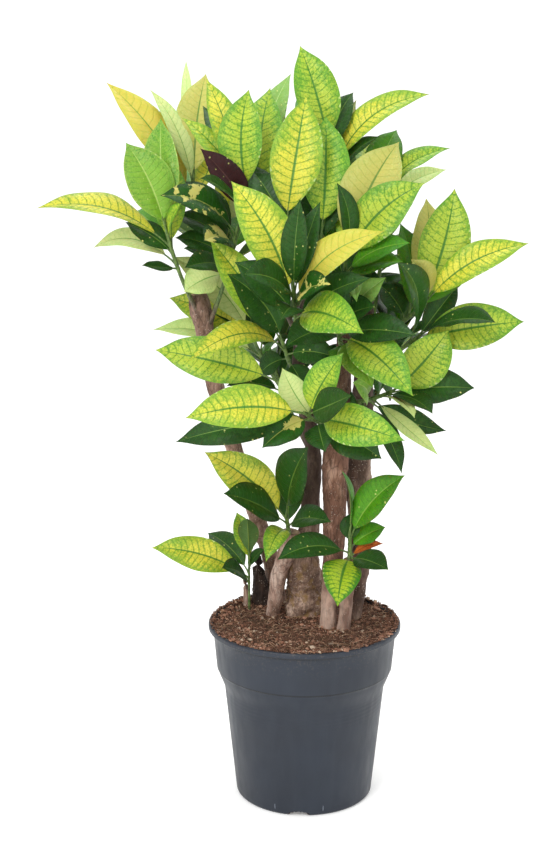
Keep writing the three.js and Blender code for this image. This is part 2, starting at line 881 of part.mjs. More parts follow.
// How far a leaf's tip may be moved, in x, y and z, to bend the blade clear, the
// least seen moves first.
function bends() {
  const list = [];
  const around = [
    [0, 0],
    [10, 0],
    [-10, 0],
    [0, 10],
    [0, -10],
    [14, 14],
    [-14, 14],
    [24, -10],
    [-24, -10],
  ];
  for (const [x, z] of around) {
    for (const y of [0, 12, -12, 24, -24, 36, -36, 50, -50, 65]) list.push([x, y, z]);
  }
  return list;
}

function namedLeaves(shoot) {
  const head = vec(shoot.head);
  return shoot.leaves.map(([tone, width, offset, bow = LEAF_BOW, turn = LEAF_TURN]) => ({
    tone,
    width,
    bow,
    turn,
    stations: LEAF_STATIONS,
    tip: head.clone().add(vec(offset)),
  }));
}

// Further leaves in a golden-angle spiral down the stem, the oldest ones lowest.
function fillLeaves(shoot, seed) {
  const [count, middle, spread, length] = shoot.fill;
  const random = randomFrom(seed);
  const head = vec(shoot.head);
  const list = [];
  for (let k = 0; k < count; k++) {
    const age = (k + 0.5) / count;
    const step = ((k * GOLDEN_ANGLE) / (2 * Math.PI)) % 1;
    const heading = middle + spread * (step - 0.5);
    const climb = mix(1.15, -0.3, age) + 0.2 * (random() - 0.5);
    const reach = length * mix(0.85, 1.1, random());
    const flat = reach * Math.cos(climb);
    const offset = new THREE.Vector3(
      flat * Math.cos(heading),
      flat * Math.sin(heading),
      reach * Math.sin(climb),
    );
    const tones = age < 0.35 && head.z > YOUNG_HEIGHT ? YOUNG_TONES : OLD_TONES;
    list.push({
      tone: tones[Math.floor(random() * tones.length)],
      width: reach * mix(0.34, 0.42, random()),
      bow: mix(0.06, 0.18, age),
      turn: 0,
      stations: FILL_STATIONS,
      tip: head.clone().add(offset),
    });
  }
  return list;
}

// A shoot's leaves, each with its rank down the stem: the steeper it stands, the
// nearer to the tip it grows.
function leavesOf(shoot, curve, seed) {
  const head = curve.getPoint(1);
  const axis = curve.getTangent(1);
  const leaves = [...namedLeaves(shoot), ...fillLeaves(shoot, seed)];
  const steepness = (leaf) => leaf.tip.clone().sub(head).normalize().dot(axis);
  const ordered = [...leaves].sort((a, b) => steepness(b) - steepness(a));
  for (const leaf of leaves) leaf.rank = ordered.indexOf(leaf);
  return leaves;
}

function obstacle(solid, owner) {
  const { min, max } = solid.boundingBox();
  return { solid, owner, box: new THREE.Box3(vec(min), vec(max)) };
}

function isClear(candidate, others) {
  const { box } = obstacle(candidate);
  const near = others.filter((other) => box.intersectsBox(other.box));
  return near.every((other) => candidate.intersect(other.solid).isEmpty());
}

// Places a leaf at its first bend that clears the other pieces, or leaves it out.
function settle(name, leaf, curve, obstacles, blades) {
  const others = obstacles.filter((other) => other.owner !== name);
  const own = blades.filter((other) => other.owner === name);
  for (const bend of bends()) {
    const tip = leaf.tip.clone().add(vec(bend));
    const spine = leafSpine(curve, tip, leaf.rank, leaf.bow, leaf.turn);
    const whole = leafSolid(spine, leaf, LEAF_GAP, 0);
    const blade = leafSolid(spine, leaf, OWN_GAP, 1);
    if (isClear(whole, others) && isClear(blade, own)) {
      const solid = leafSolid(spine, leaf, 0, 0);
      obstacles.push(obstacle(solid, name));
      blades.push(obstacle(leafSolid(spine, leaf, 0, 1), name));
      return { tone: leaf.tone, solid };
    }
  }
  return null;
}

// ---- The whole plant ---------------------------------------------------------

function addPotAndSoil(group, curves) {
  const sprouts = Object.keys(SHOOTS).filter((name) => !SHOOTS[name].cane);
  const holes = [
    ...Object.keys(CANES).map(caneHole),
    ...sprouts.map((name) => stemSolid(SHOOTS[name], curves[name], CLEAR, SOCKET_RINGS)),
  ];
  const potBody = pot();
  const soilBody = soil(holes);
  group.add(meshOf("pot", potBody, material("#464e5a", 0.45)));
  group.add(meshOf("soil", soilBody, material("#4a3629", 1)));
  return [obstacle(potBody, "pot"), obstacle(soilBody, "soil")];
}

// The canes, with a socket cut for each stem that grows out of them.
function addCanes(group, curves) {
  return Object.keys(CANES).map((name) => {
    let body = caneSolid(name);
    for (const [shootName, shoot] of Object.entries(SHOOTS)) {
      if (shoot.cane !== name) continue;
      body = body.subtract(stemSolid(shoot, curves[shootName], CLEAR, SOCKET_RINGS));
    }
    body = largestBody(body);
    group.add(meshOf(name, body, material("#8d7a69", 0.85)));
    return obstacle(body, name);
  });
}

// Stems first, then every shoot's first leaf, every shoot's second one, and so on,
// so that the leaves that count most are placed while there is still room.
function growLeaves(curves, obstacles) {
  const blades = [];
  const grown = {};
  const waiting = {};
  Object.entries(SHOOTS).forEach(([name, shoot], index) => {
    const stem = stemSolid(shoot, curves[name], 0, STEM_STEPS);
    grown[name] = [{ tone: "green", solid: stem }];
    obstacles.push(obstacle(stem, name));
    waiting[name] = leavesOf(shoot, curves[name], 1000 + index);
  });
  const most = Math.max(...Object.values(waiting).map((leaves) => leaves.length));
  for (let k = 0; k < most; k++) {
    for (const name of Object.keys(SHOOTS)) {
      const leaf = waiting[name][k];
      const placed = leaf && settle(name, leaf, curves[name], obstacles, blades);
      if (placed) grown[name].push(placed);
    }
  }
  return grown;
}

// A stem and its leaves fused into one body, in the mean colour of the leaves.
function shootMesh(name, parts) {
  let body = parts[0].solid;
  const colour = new THREE.Color(0, 0, 0);
  for (const { tone, solid } of parts.slice(1)) {
    body = body.add(solid);
    colour.add(new THREE.Color(TONES[tone]).multiplyScalar(1 / (parts.length - 1)));
  }
  return meshOf(name, largestBody(body), material(colour, 0.5));
}

function plant() {
  const group = new THREE.Group();
  const curves = {};
  for (const [name, shoot] of Object.entries(SHOOTS)) curves[name] = stemCurve(shoot);
  const obstacles = [...addPotAndSoil(group, curves), ...addCanes(group, curves)];
  const grown = growLeaves(curves, obstacles);
  for (const [name, parts] of Object.entries(grown)) group.add(shootMesh(name, parts));
  return group;
}

const group = plant();

export default group;
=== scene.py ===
"""The looks of a potted croton: its nursery pot, soil, woody canes and leafy shoots.

Lengths in the tables are millimetres; meshes are made in metres. +Z is up and the
plant's front looks along -Y. The lines of canes and stems and the tips of leaves are
those of the solids, and every fine piece is built round the solid that it replaces.
"""

import random
from collections import namedtuple
from math import cos, exp, hypot, pi, radians, sin, sqrt, tau

import bmesh
import bpy
import numpy as np
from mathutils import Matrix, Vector, kdtree, noise


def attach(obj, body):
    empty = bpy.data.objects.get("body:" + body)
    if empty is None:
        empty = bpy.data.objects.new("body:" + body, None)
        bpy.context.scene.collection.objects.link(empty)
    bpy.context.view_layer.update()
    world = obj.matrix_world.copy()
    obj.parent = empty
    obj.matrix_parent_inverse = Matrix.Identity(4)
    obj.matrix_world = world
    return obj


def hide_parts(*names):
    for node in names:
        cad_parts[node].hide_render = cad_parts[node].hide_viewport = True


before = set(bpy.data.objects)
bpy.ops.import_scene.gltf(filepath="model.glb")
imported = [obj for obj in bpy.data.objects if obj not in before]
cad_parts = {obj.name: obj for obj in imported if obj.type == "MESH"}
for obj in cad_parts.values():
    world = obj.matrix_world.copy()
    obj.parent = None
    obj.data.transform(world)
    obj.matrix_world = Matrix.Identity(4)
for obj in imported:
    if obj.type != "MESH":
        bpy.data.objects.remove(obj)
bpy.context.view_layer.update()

# ---- Dimensions --------------------------------------------------------------

MM = 0.001

POT_HEIGHT = 249
RIM_RADIUS = 134
LIP_HEIGHT = 8
LIP_ROUND = 2.4
LIP_UNDER_ROUND = 1.6
COLLAR_TOP_RADIUS = 127.5
COLLAR_FOOT_RADIUS = 122.5
COLLAR_FOOT_HEIGHT = 185
SHOULDER_HEIGHT = 157
NECK_RADIUS = 111.5
NECK_HEIGHT = 154
BASE_RADIUS = 96
BASE_EDGE = 5
WALL = 2.4
FLOOR = 3
POT_SIDES = 160
POT_SHARP = 38  # degrees between faces that meet in a hard edge
RING_SPACING = 6
DRAIN_COUNT = 3
DRAIN_WIDTH = 30
DRAIN_HEIGHT = 7
DRAIN_DEPTH = 14
DRAIN_TURNS = [radians(120 * k - 4) for k in range(DRAIN_COUNT)]  # from the front
TICK_TURN = radians(20)  # from a drain to the moulded ticks on both its sides

SOIL_RADIUS = 126
SOIL_EDGE_HEIGHT = 247
SOIL_MIDDLE_HEIGHT = 245
SOIL_SIDES = 160
SOIL_RINGS = 56
SOIL_WALL = [(124.4, 236), (119, 185), (108.5, 164), (93, 8)]  # radius and height, downwards
STONES = {  # how many, their sizes, flatness, and whether they have eight faces only
    "grain": (12000, 0.6, 1.7, 1.0, True),
    "lump": (900, 1.2, 3.6, 1.0, False),
    "chip": (60, 2.4, 5.6, 0.4, False),
}
STONE_REACH = 131.5
EDGE_RADII = (112, 132)  # between which every third stone lies
CLUMPS = [(0.86, 0.12, 9.0), (2.45, 0.16, 4.5)]  # angle, spread and height of heaps on the rim
CLUMP_RADII = (116, 130)
CLUMP_STONES = 90
DRAIN_STONES = 70
FIBRE_COUNT = 800
FIBRE_START = 128  # the radius within which fibres start
FIBRE_EDGE = 127  # the radius from which they lie level with the pot's lip
FIBRE_REACH = 133  # the radius that no fibre passes
FIBRE_RADII = [0.12, 0.2, 0.23, 0.21, 0.16, 0.06]

CANE_FOOT = [(40, 0.8), (20, 0.9), (8, 0.97)]  # depth in the soil and share of the radius
CANE_DOME = [(0.9, 0.93), (1.1, 0.82), (0.7, 0.7), (0.5, 0.4), (0.4, 0.1)]  # rise and share
FLARE_HEIGHT = 246  # of a cane's widest flare
CANE_SIDES = 44
CANE_STEP = 60  # of the coarse path that stems are rooted on
BARK_STEP = 2.6
BURL_TOP = (288, 335)  # the heights between which the middle cane's burl fades out

STEM_ROOT_RADIUS = 3.3
STEM_TIP_RADIUS = 2.1
SPROUT_SHARE = 0.62
STEM_SIDES = 12
STEM_RINGS = 52
BUD_LENGTH = 8

PETIOLE_SHARE = 0.14
PETIOLE_RADIUS = 1.25
PETIOLE_TAPER = (1.75, 1.45, 1.12, 1.0, 0.95, 0.92, 0.88, 0.6)
TIP_MATCH = 0.05  # how near to a solid's vertex a leaf tip has to be
LEAF_FOLD = 0.24
LEAF_THICKNESS = 0.6
LEAF_BOW = 0.1
LEAF_TURN = 0.45
FIRST_LEAF = 3
LEAF_SPACING = 6.5
FRONT = Vector((0, -0.97, 0.24))
GOLDEN_ANGLE = 2.39996
YOUNG_HEIGHT = 760  # above which a shoot's uppermost fill leaves have young tones
YOUNG_TONES = ["gold", "lime", "pale"]
OLD_TONES = ["green", "dark", "dark"]

VEINS = 15  # side veins on each half of a blade
ROWS = 2 * VEINS + 1  # of a blade's vertices, on the veins and half way between them
COLUMNS = np.array([-1, -0.86, -0.6, -0.32, -0.07, 0, 0.07, 0.32, 0.6, 0.86, 1])
VEIN_LEAN = 0.1  # how far a vein runs forward, as a share of the blade

# ---- Canes: x, y, z and radius, from the soil's surface up -------------------

CANES = {
    "cane_tall_left": [
        (-40, 100, 246, 12.5), (-47, 98, 298, 12), (-66, 86, 366, 11.5), (-100, 60, 482, 11.5),
        (-124, 45, 570, 12), (-137, 35, 646, 12.5), (-144, 30, 690, 14.5), (-146, 29, 702, 12),
    ],
    "cane_short_left": [
        (-45, 36, 246, 8.8), (-35, 30, 310, 11), (-21, 20, 352, 13.5), (-19, 18, 372, 12.5),
    ],
    "cane_middle": [
        (1, 46, 244, 23.5), (1, 46, 275, 24), (-1, 46, 308, 24), (-2, 45, 334, 20), (6, 45, 364, 14),
        (8, 45, 411, 13), (12, 40, 470, 11), (2, 20, 540, 10.5), (-9, 0, 596, 8.5), (-8, -10, 650, 8),
        (-8, -10, 690, 7.5),
    ],
    "cane_right_front": [
        (33, -12, 246, 10.5), (40, -10, 369, 15), (41, -10, 482, 17.5), (46, -14, 560, 15),
        (50, -20, 630, 10), (52, -24, 682, 8.5),
    ],
    "cane_short_right": [(54, -22, 244, 8.5), (63, -29, 346, 9.5)],
    "cane_right_back": [
        (72, 22, 246, 7), (79, 24, 330, 13), (74, 25, 445, 17), (78, 22, 560, 14), (82, 20, 676, 9.5),
        (84, 18, 722, 8),
    ],
    "stump_dark": [(-63, 84, 246, 12), (-64, 83, 274, 10.5), (-67, 82, 302, 8)],
    "stump_small": [(-82, 74, 245, 6), (-85, 73, 276, 3.5)],
}

# ---- Shoots ------------------------------------------------------------------
# The stem's cane and the height it starts at, or None and its root in the soil; its
# head; the leaves placed by rule (how many, middle angle, spread, length); and the
# other leaves: tone unless it is dark, width, the tip's x, y and z from the head, and
# bow and turn unless they are the usual ones.

SHOOTS = {
    "shoot_left_outer": ("cane_tall_left", 668, (-182, -35, 794), (2, 2.2, 1.6, 120), [
        ("gold", 50, -166, -15, 29, 0.14, 0.15), ("fresh", 62, -51, 5, 112),
        ("fresh", 50, -9, 35, 143, 0.1, 0.6), ("pale", 32, -103, 50, -28, 0.2, 0.5), (36, -55, 15, 9),
        (20, -30, -25, -43, 0.0), ("lime", 24, 23, -35, 37),
    ]),
    "shoot_left_inner": ("cane_tall_left", 650, (-90, -20, 795), (2, 1.6, 1.8, 120), [
        ("cream", 50, -97, -40, 45, 0.16), (45, -80, 50, 60), ("cream", 42, -40, -75, -10),
        (38, -65, -60, -45), (40, -85, 60, 15), ("pale", 52, -71, 15, -84), (38, -83, 10, -13),
        (34, -72, -25, -27),
    ]),
    "shoot_left_top": ("cane_tall_left", 692, (-150, 20, 850), (2, 2.0, 2.2, 125), [
        ("yellow", 54, -117, 30, 133, 0.06, 0.55), ("pale", 28, -60, 40, 124),
        ("butter", 60, 14, 40, 145, 0.06, 0.7), ("pale", 17, -18, 108, 164, 0.14),
    ]),
    "shoot_middle_left": ("cane_middle", 648, (-75, -45, 840), (), [
        ("lime", 58, 2, 0, 133, 0.06, 0.8), ("gold", 36, -87, 25, 98), ("gold", 42, -56, 75, 147),
        ("lime", 70, 27, 85, 136, 0.08, 0.6), ("sage", 48, 54, 167, 156),
        ("plum", 38, -59, -30, 60, 0.06, 0.9), (30, -64, 45, 113), (40, 10, -70, -20), (26, -59, 35, 82),
        (36, -55, -45, 26),
    ]),
    "shoot_front_middle": ("cane_middle", 626, (-15, -120, 725), (), [
        ("gold", 62, -79, 15, 136, 0.1, 0.8), ("yellow", 44, 111, -25, 77, 0.17, 0.5),
        (34, 8, -35, 118, 0.06, 0.3), (32, 33, -10, 113, 0.06, 0.3), (48, -60, -80, 30),
        ("cream", 42, 45, -80, 18), (46, 95, -15, 20), (38, -15, -82, -25), (50, -75, 15, 35),
        ("lime", 56, 84, -112, -37, 0.12, 0.8),
    ]),
    "shoot_upper_middle": ("cane_middle", 669, (-25, -70, 800), (2, 1.5, 1.0, 115), [
        ("gold", 66, 25, 35, 165, 0.06, 0.8), ("yellow", 26, -53, -42, 50), (50, -54, 0, 70),
        (44, -50, 60, 80), ("green", 46, 5, 125, 80),
    ]),
    "shoot_upper_right": ("cane_middle", 684, (20, -50, 790), (2, 1.4, 1.2, 120), [
        ("lime", 64, 5, 30, 150, 0.06, 0.8), (40, -28, -45, 7), (44, -30, 65, 85), (48, 25, 100, 105),
    ]),
    "shoot_top": ("cane_right_back", 688, (30, 0, 895), (2, 2.4, 1.2, 110), [
        ("lime", 58, -39, 20, 134, 0.06, 0.8), (48, 32, 30, 75), ("gold", 48, 128, -20, 72, 0.16, 0.5),
        (30, 64, -60, 19), ("green", 50, -35, 80, 80),
    ]),
    "shoot_upper_back_right": ("cane_right_back", 714, (95, 20, 840), (2, 2.3, 1.0, 110), [
        ("lime", 42, 94, -10, 58, 0.14), ("pale", 36, 95, 45, 28), ("green", 50, 26, 35, 81),
        ("lime", 30, 31, -60, 17),
    ]),
    "shoot_right_of_middle": ("cane_right_front", 674, (50, -75, 770), (2, 1.9, 1.2, 115), [
        ("lime", 64, 98, -20, 88, 0.1, 0.75), ("butter", 74, 70, 55, 137, 0.1, 0.75),
        ("sage", 30, 13, -75, -55, 0.2, 0.5), ("green", 44, 80, -40, 15), (44, 45, 85, 25),
        (28, -12, -40, 89, 0.1, 0.6), ("green", 40, 72, -35, -9), (46, 49, -30, -42),
    ]),
    "shoot_right": ("cane_right_back", 640, (155, -40, 700), (), [
        ("lime", 66, 37, 10, 148, 0.06, 0.85), ("gold", 46, 131, -20, 80, 0.15, 0.35),
        ("butter", 52, 5, 70, 132), ("butter", 42, -23, -65, 64, 0.12, 0.6), ("green", 46, -30, 60, 100),
        ("green", 44, 75, 90, 71), (44, -59, 30, 22),
    ]),
    "shoot_right_lower": ("cane_right_back", 606, (150, -25, 655), (), [
        ("lime", 62, 136, -15, 21, 0.05, 0.8), (42, 90, -88, 30), (38, 35, -85, -18), (34, 54, 25, 63),
        (50, -47, -75, 110), (40, -39, 35, -28),
    ]),
    "shoot_front_right": ("cane_right_front", 632, (40, -80, 685), (), [
        ("lime", 58, 95, -70, -88, 0.17, 0.5), ("fresh", 46, 45, -55, -80), (48, -65, -75, -25),
        (44, 100, -45, -15), ("sage", 40, 62, -15, 55), (46, 48, -45, 22), (42, 18, -45, 65),
        (40, -9, -20, 65), ("green", 44, 17, -38, -65),
    ]),
    "shoot_left_middle": ("cane_middle", 588, (-30, -50, 650), (), [
        (56, -70, -45, 94, 0.1, 0.7), ("gold", 38, -117, -105, -9, 0.2, 0.5),
        ("gold", 52, -96, 15, 134, 0.08, 0.6), (40, 71, 30, -18), (36, -31, 30, -48), (36, 26, 25, -66),
    ]),
    "shoot_left_behind": ("cane_middle", 532, (-75, 72, 640), (4, 1.9, 2.4, 125), [
        ("pale", 48, -110, 18, 110, 0.1, 0.8), ("gold", 50, -117, 25, 49, 0.05, 0.8),
        ("pale", 44, -141, 30, 3, 0.1, 0.5),
    ]),
    "shoot_front_left": ("cane_middle", 556, (-35, -90, 605), (), [
        ("lime", 58, -158, -5, 41, 0.12, 0.8),
    ]),
    "shoot_front_low": ("cane_right_front", 528, (0, -100, 565), (), [
        ("gold", 56, -151, -50, 3, 0.12, 0.85), ("lime", 54, 126, -50, -25, 0.2, 0.8),
        ("cream", 42, -55, -25, -41), (46, -171, 30, -46), (52, 99, -10, -58, 0.08, 0.6),
        (44, 57, -80, 39, 0.02), ("pale", 40, -30, 30, 58, 0.1, 0.6), ("lime", 46, 48, -35, 85),
        (40, 26, -20, -47),
    ]),
    "shoot_right_low": ("cane_right_front", 558, (115, -50, 585), (), [
        ("lime", 62, 72, 0, 82, 0.08, 0.7), (52, 107, -10, 6, 0.06, 0.5), (38, 48, -62, -18),
        (36, 75, 30, -60, -0.1, 0.5), ("pale", 27, 58, -45, -76, 0.0), ("pale", 22, 34, -100, -21),
        ("fresh", 42, -55, -75, 25), (32, 12, -30, -105), (46, -27, -45, 66), (34, -55, 25, -23),
    ]),
    "shoot_low_left": ("cane_short_left", 360, (-25, -10, 405), (), [
        ("gold", 58, -110, -30, 94, 0.06, 0.9), (54, -82, -80, 50, 0.03), (60, 29, -80, 113, 0.06, 0.6),
        (44, 5, 75, 50), (38, 60, -82, 12), ("lime", 32, -27, -56, -51, 0.25),
    ]),
    "sprout": (None, (-79, 50, 222), (-79, 50, 327), (), [
        ("gold", 50, -138, -10, 14, 0.1, 0.7), (40, -63, 67, 14), (36, -36, -48, -3),
        ("olive", 30, -1, -35, 65), ("lime", 30, -19, 58, 55), (20, 23, -2, 11),
    ]),
    "shoot_low_right": ("cane_short_right", 336, (61, -36, 388), (1, 1.8, 0.6, 80), [
        ("green", 46, 71, -35, 88, 0.08, 0.7), ("quilted", 52, -18, -92, -75, 0.14, 0.5),
        (42, -97, -76, -17), (38, 49, -78, -29, 0.05), ("green", 26, -12, -8, 90), ("green", 36, 49, 10, 4),
        ("dry", 15, 45, -24, -13),
    ]),
    "shoot_back_left": ("cane_tall_left", 640, (-110, 125, 770), (10, 1.9, 4.6, 140), []),
    "shoot_back_top": ("cane_right_back", 676, (15, 130, 850), (9, 1.5, 4.6, 140), []),
    "shoot_back_right": ("cane_right_back", 586, (110, 130, 785), (9, 1.9, 2.6, 120), [
        (46, 5, -35, -121), (40, 23, -50, -43), (48, 4, -80, -79),
    ]),
    "shoot_back_middle": ("cane_middle", 498, (30, 125, 670), (6, 1.5, 3.4, 130), [
        (42, -49, -30, -90), (44, -4, -40, -84), (40, 35, -55, -30), (44, -60, -40, -53), (40, 4, -65, -57),
    ]),
    "shoot_back_low_left": ("cane_middle", 476, (-50, 120, 610), (8, 1.9, 3.2, 130), [
        (40, -62, -25, -46), (44, -11, -30, -82), (42, 31, -40, -99), (46, 51, -60, 19),
    ]),
    "shoot_back_low_right": ("cane_right_back", 520, (130, 105, 640), (7, 1.5, 2.8, 115), [
        (40, -67, -25, -96), (44, 20, -20, -53), (42, -35, 5, -81), (46, -48, -20, 54), (46, 55, -45, 24),
        (44, -11, -30, -94), (40, -38, -45, -94),
    ]),
}

# ---- Small helpers -----------------------------------------------------------


def mix(a, b, t):
    return a + (b - a) * t


def smooth(low, high, x):
    t = np.clip((x - low) / (high - low), 0, 1)
    return t * t * (3 - 2 * t)


def unit(rows):
    return rows / np.linalg.norm(rows, axis=-1, keepdims=True)


def polar(radius, angle):
    return radius * cos(angle), radius * sin(angle)


def circle(sides):
    """The angles of points spaced evenly round a circle."""
    return np.arange(sides) * tau / sides


def park_miller(seed):
    """A generator of the same numbers as the solids' source draws."""
    state = seed
    while True:
        state = state * 16807 % 2147483647
        yield state / 2147483647


def linear(hex_colour):
    """A hex colour as the linear RGBA that sockets take."""
    parts = [int(hex_colour[k : k + 2], 16) / 255 for k in (1, 3, 5)]
    return tuple(p / 12.92 if p <= 0.04045 else ((p + 0.055) / 1.055) ** 2.4 for p in parts) + (1,)


def link(name, data):
    """A new object in the scene."""
    thing = bpy.data.objects.new(name, data)
    bpy.context.scene.collection.objects.link(thing)
    return thing


class Shape:
    """Gathers parts of one piece: vertices in millimetres, faces, and what each carries."""

    def __init__(self):
        self.points = []
        self.faces = []
        self.slots = []
        self.uvs = []
        self.tints = []
        self.count = 0

    def add(self, points, faces, slot=0, uvs=None, tint=0.0):
        points = np.asarray(points, float).reshape(-1, 3)
        self.points.append(points)
        self.faces += [tuple(int(v) + self.count for v in face) for face in faces]
        self.slots += list(slot) if np.ndim(slot) else [slot] * len(faces)
        self.uvs.append(np.zeros((len(points), 2)) if uvs is None else uvs)
        self.tints.append(np.broadcast_to(np.asarray(tint, float), (len(points),)))
        self.count += len(points)

    def build(self, name, materials, sharp=50):
        mesh = bpy.data.meshes.new(name)
        mesh.from_pydata((np.concatenate(self.points) * MM).tolist(), [], self.faces)
        for material in materials:
            mesh.materials.append(material)
        mesh.polygons.foreach_set("material_index", self.slots)
        corners = np.empty(len(mesh.loops), int)
        mesh.loops.foreach_get("vertex_index", corners)
        uv = mesh.uv_layers.new(name="blade")
        uv.data.foreach_set("uv", np.concatenate(self.uvs)[corners].ravel())
        tint = mesh.attributes.new("tint", "FLOAT", "POINT")
        tint.data.foreach_set("value", np.concatenate(self.tints))
        mesh.shade_smooth()
        mesh.set_sharp_from_angle(angle=radians(sharp))
        return link(name, mesh)


def grid_faces(rows, columns, closed=True):
    """Quads of a grid; closed joins the last column to the first one."""
    faces = []
    for a in range(0, (rows - 1) * columns, columns):
        for c in range(columns if closed else columns - 1):
            d = (c + 1) % columns
            faces.append((a + c, a + d, a + columns + d, a + columns + c))
    return faces


def add_tube(shape, centres, radii, sides, slot=0, tint=0.0, swell=1.0, slide=None):
    """A capped tube. swell and slide, arrays of rings by sides, scale and shift it."""
    centres = np.asarray(centres, float)
    along = unit(np.gradient(centres, axis=0))
    side = unit(np.array([0.0, 1.0, 0.0]) - along * along[:, 1:2])
    up = np.cross(along, side)
    angle = circle(sides)
    out = side[:, None] * np.cos(angle)[None, :, None] + up[:, None] * np.sin(angle)[None, :, None]
    reach = np.broadcast_to(np.asarray(radii, float)[:, None] * swell, (len(centres), sides))
    points = centres[:, None] + out * reach[..., None]
    if slide is not None:
        points += along[:, None] * slide[..., None]
    last = (len(centres) - 1) * sides
    caps = [tuple(range(sides - 1, -1, -1)), tuple(last + k for k in range(sides))]
    tint = np.repeat(np.asarray(tint), sides) if np.ndim(tint) else tint
    shape.add(points, grid_faces(len(centres), sides) + caps, slot, tint=tint)


# ---- Node trees --------------------------------------------------------------


class Nodes:
    """Short calls that build a material's node tree round one Principled shader.

    Textures lie on object coordinates, which are metres in the part's frame; rise
    scales their z. ground starts the colour, cover and paint lay another one over it,
    and each bump adds to the last.
    """

    def __init__(self, name):
        self.material = bpy.data.materials.new(name)
        self.material.use_nodes = True
        self.tree = self.material.node_tree
        self.shader = self.tree.nodes["Principled BSDF"].inputs
        self.places = {}
        self.colour = None
        self.normal = None

    def put(self, socket, value):
        if isinstance(value, bpy.types.NodeSocket):
            self.tree.links.new(value, socket)
        else:
            socket.default_value = linear(value) if isinstance(value, str) else value

    def add(self, kind, values=None, **settings):
        node = self.tree.nodes.new("ShaderNode" + kind)
        for key, value in settings.items():
            setattr(node, key, value)
        for key, value in (values or {}).items():
            self.put(node.inputs[key], value)
        return node

    def math(self, operation, a, b=0.0, clamp=False):
        return self.add("Math", {0: a, 1: b}, operation=operation, use_clamp=clamp).outputs[0]

    def times(self, value, *others):
        for other in others:
            value = self.math("MULTIPLY", value, other)
        return value

    def plus(self, value, *others):
        for other in others:
            value = self.math("ADD", value, other)
        return value

    def minus(self, a, b):
        return self.math("SUBTRACT", a, b)

    def centred(self, value, amount):
        """A value between 0 and 1 as one round 0, by an amount."""
        return self.times(self.minus(value, 0.5), amount)

    def step(self, value, low, high, to_low=0.0, to_high=1.0):
        values = {"Value": value, "From Min": low, "From Max": high, "To Min": to_low, "To Max": to_high}
        return self.add("MapRange", values, interpolation_type="SMOOTHSTEP").outputs["Result"]

    def blend(self, factor, a, b):
        return self.add("Mix", {"Factor": factor, 6: a, 7: b}, data_type="RGBA").outputs[2]

    def ground(self, value, low, high, a, b):
        self.colour = self.blend(self.step(value, low, high), a, b)

    def cover(self, factor, colour):
        self.colour = self.blend(factor, self.colour, colour)

    def paint(self, value, low, high, colour, strength=1.0):
        self.cover(self.step(value, low, high, 0, strength), colour)

    def place(self, rise):
        if rise not in self.places:
            values = {"Vector": self.add("TexCoord").outputs["Object"], "Scale": (1, 1, rise)}
            self.places[rise] = self.add("Mapping", values).outputs[0]
        return self.places[rise]

    def height(self):
        return self.add("SeparateXYZ", {0: self.place(1)}).outputs["Z"]

    def above(self, low, high, to_low=0.0, to_high=1.0):
        return self.step(self.height(), low, high, to_low, to_high)

    def belt(self, start, full, waning, end):
        """1 between two heights, faded out below and above them."""
        return self.times(self.above(start, full), self.above(end, waning))

    def noise(self, scale, detail=3.0, roughness=0.55, rise=1):
        values = {"Vector": self.place(rise), "Scale": scale, "Detail": detail, "Roughness": roughness}
        return self.add("TexNoise", values).outputs["Fac"]

    def cells(self, scale, feature="F1", rise=1):
        values = {"Vector": self.place(rise), "Scale": scale}
        return self.add("TexVoronoi", values, feature=feature).outputs["Distance"]

    def tint(self):
        return self.add("Attribute", attribute_name="tint").outputs["Fac"]

    def bump(self, height, distance, strength=1.0):
        values = {"Height": height, "Distance": distance, "Strength": strength}
        if self.normal is not None:
            values["Normal"] = self.normal
        self.normal = self.add("Bump", values).outputs[0]

    def finish(self, roughness, **constants):
        self.put(self.shader["Base Color"], self.colour)
        self.put(self.shader["Roughness"], roughness)
        if self.normal is not None:
            self.put(self.shader["Normal"], self.normal)
        for key, value in constants.items():
            self.shader[key.replace("_", " ")].default_value = value
        return self.material


# ---- Materials ---------------------------------------------------------------


def pot_material():
    """Satin slate-grey plastic with flow marks, moulding rings and a little dust, with painted shade lines
    under the lip and the collar and painted highlights on the ticks.
    """
    n = Nodes("pot_plastic")
    flow = n.noise(60, 4, rise=0.1)
    n.ground(n.noise(9), 0.3, 0.7, "#161d28", "#1c2430")
    n.paint(flow, 0.45, 0.75, "#2a303a", 0.25)
    n.paint(n.noise(210, 5, 0.7, rise=0.25), 0.66, 0.78, "#434952", 0.35)
    dust = n.times(n.above(0.2, 0.249), n.step(n.noise(320, 4), 0.52, 0.7), 0.35)
    n.cover(dust, "#5c5249")
    # Painted highlight: the moulded ticks, whose tint is 1, are painted lighter.
    n.cover(n.times(n.tint(), 0.6), "#707884")
    # Painted shade: thin dark lines under the lip's overhang and at the foot of the collar.
    shade_under_lip = n.belt(0.236, 0.24, 0.2412, 0.2425)
    shade_under_collar = n.belt(0.1835, 0.1845, 0.1858, 0.1868)
    n.cover(n.times(n.math("MAXIMUM", shade_under_lip, shade_under_collar), 0.9), "#0b0e13")
    rings = n.math("SINE", n.times(n.height(), tau / (RING_SPACING * MM)))
    neck = n.belt(0.122, 0.139, 0.154, 0.16)
    n.bump(n.times(rings, neck, n.noise(14, rise=0.2)), 0.0001)
    n.bump(flow, 0.0004, 0.5)
    n.bump(n.noise(900, 2), 0.00008, 0.5)
    roughness = n.step(n.noise(70, 4, rise=0.3), 0.3, 0.7, 0.4, 0.52)
    return n.finish(roughness, Specular_IOR_Level=0.42)


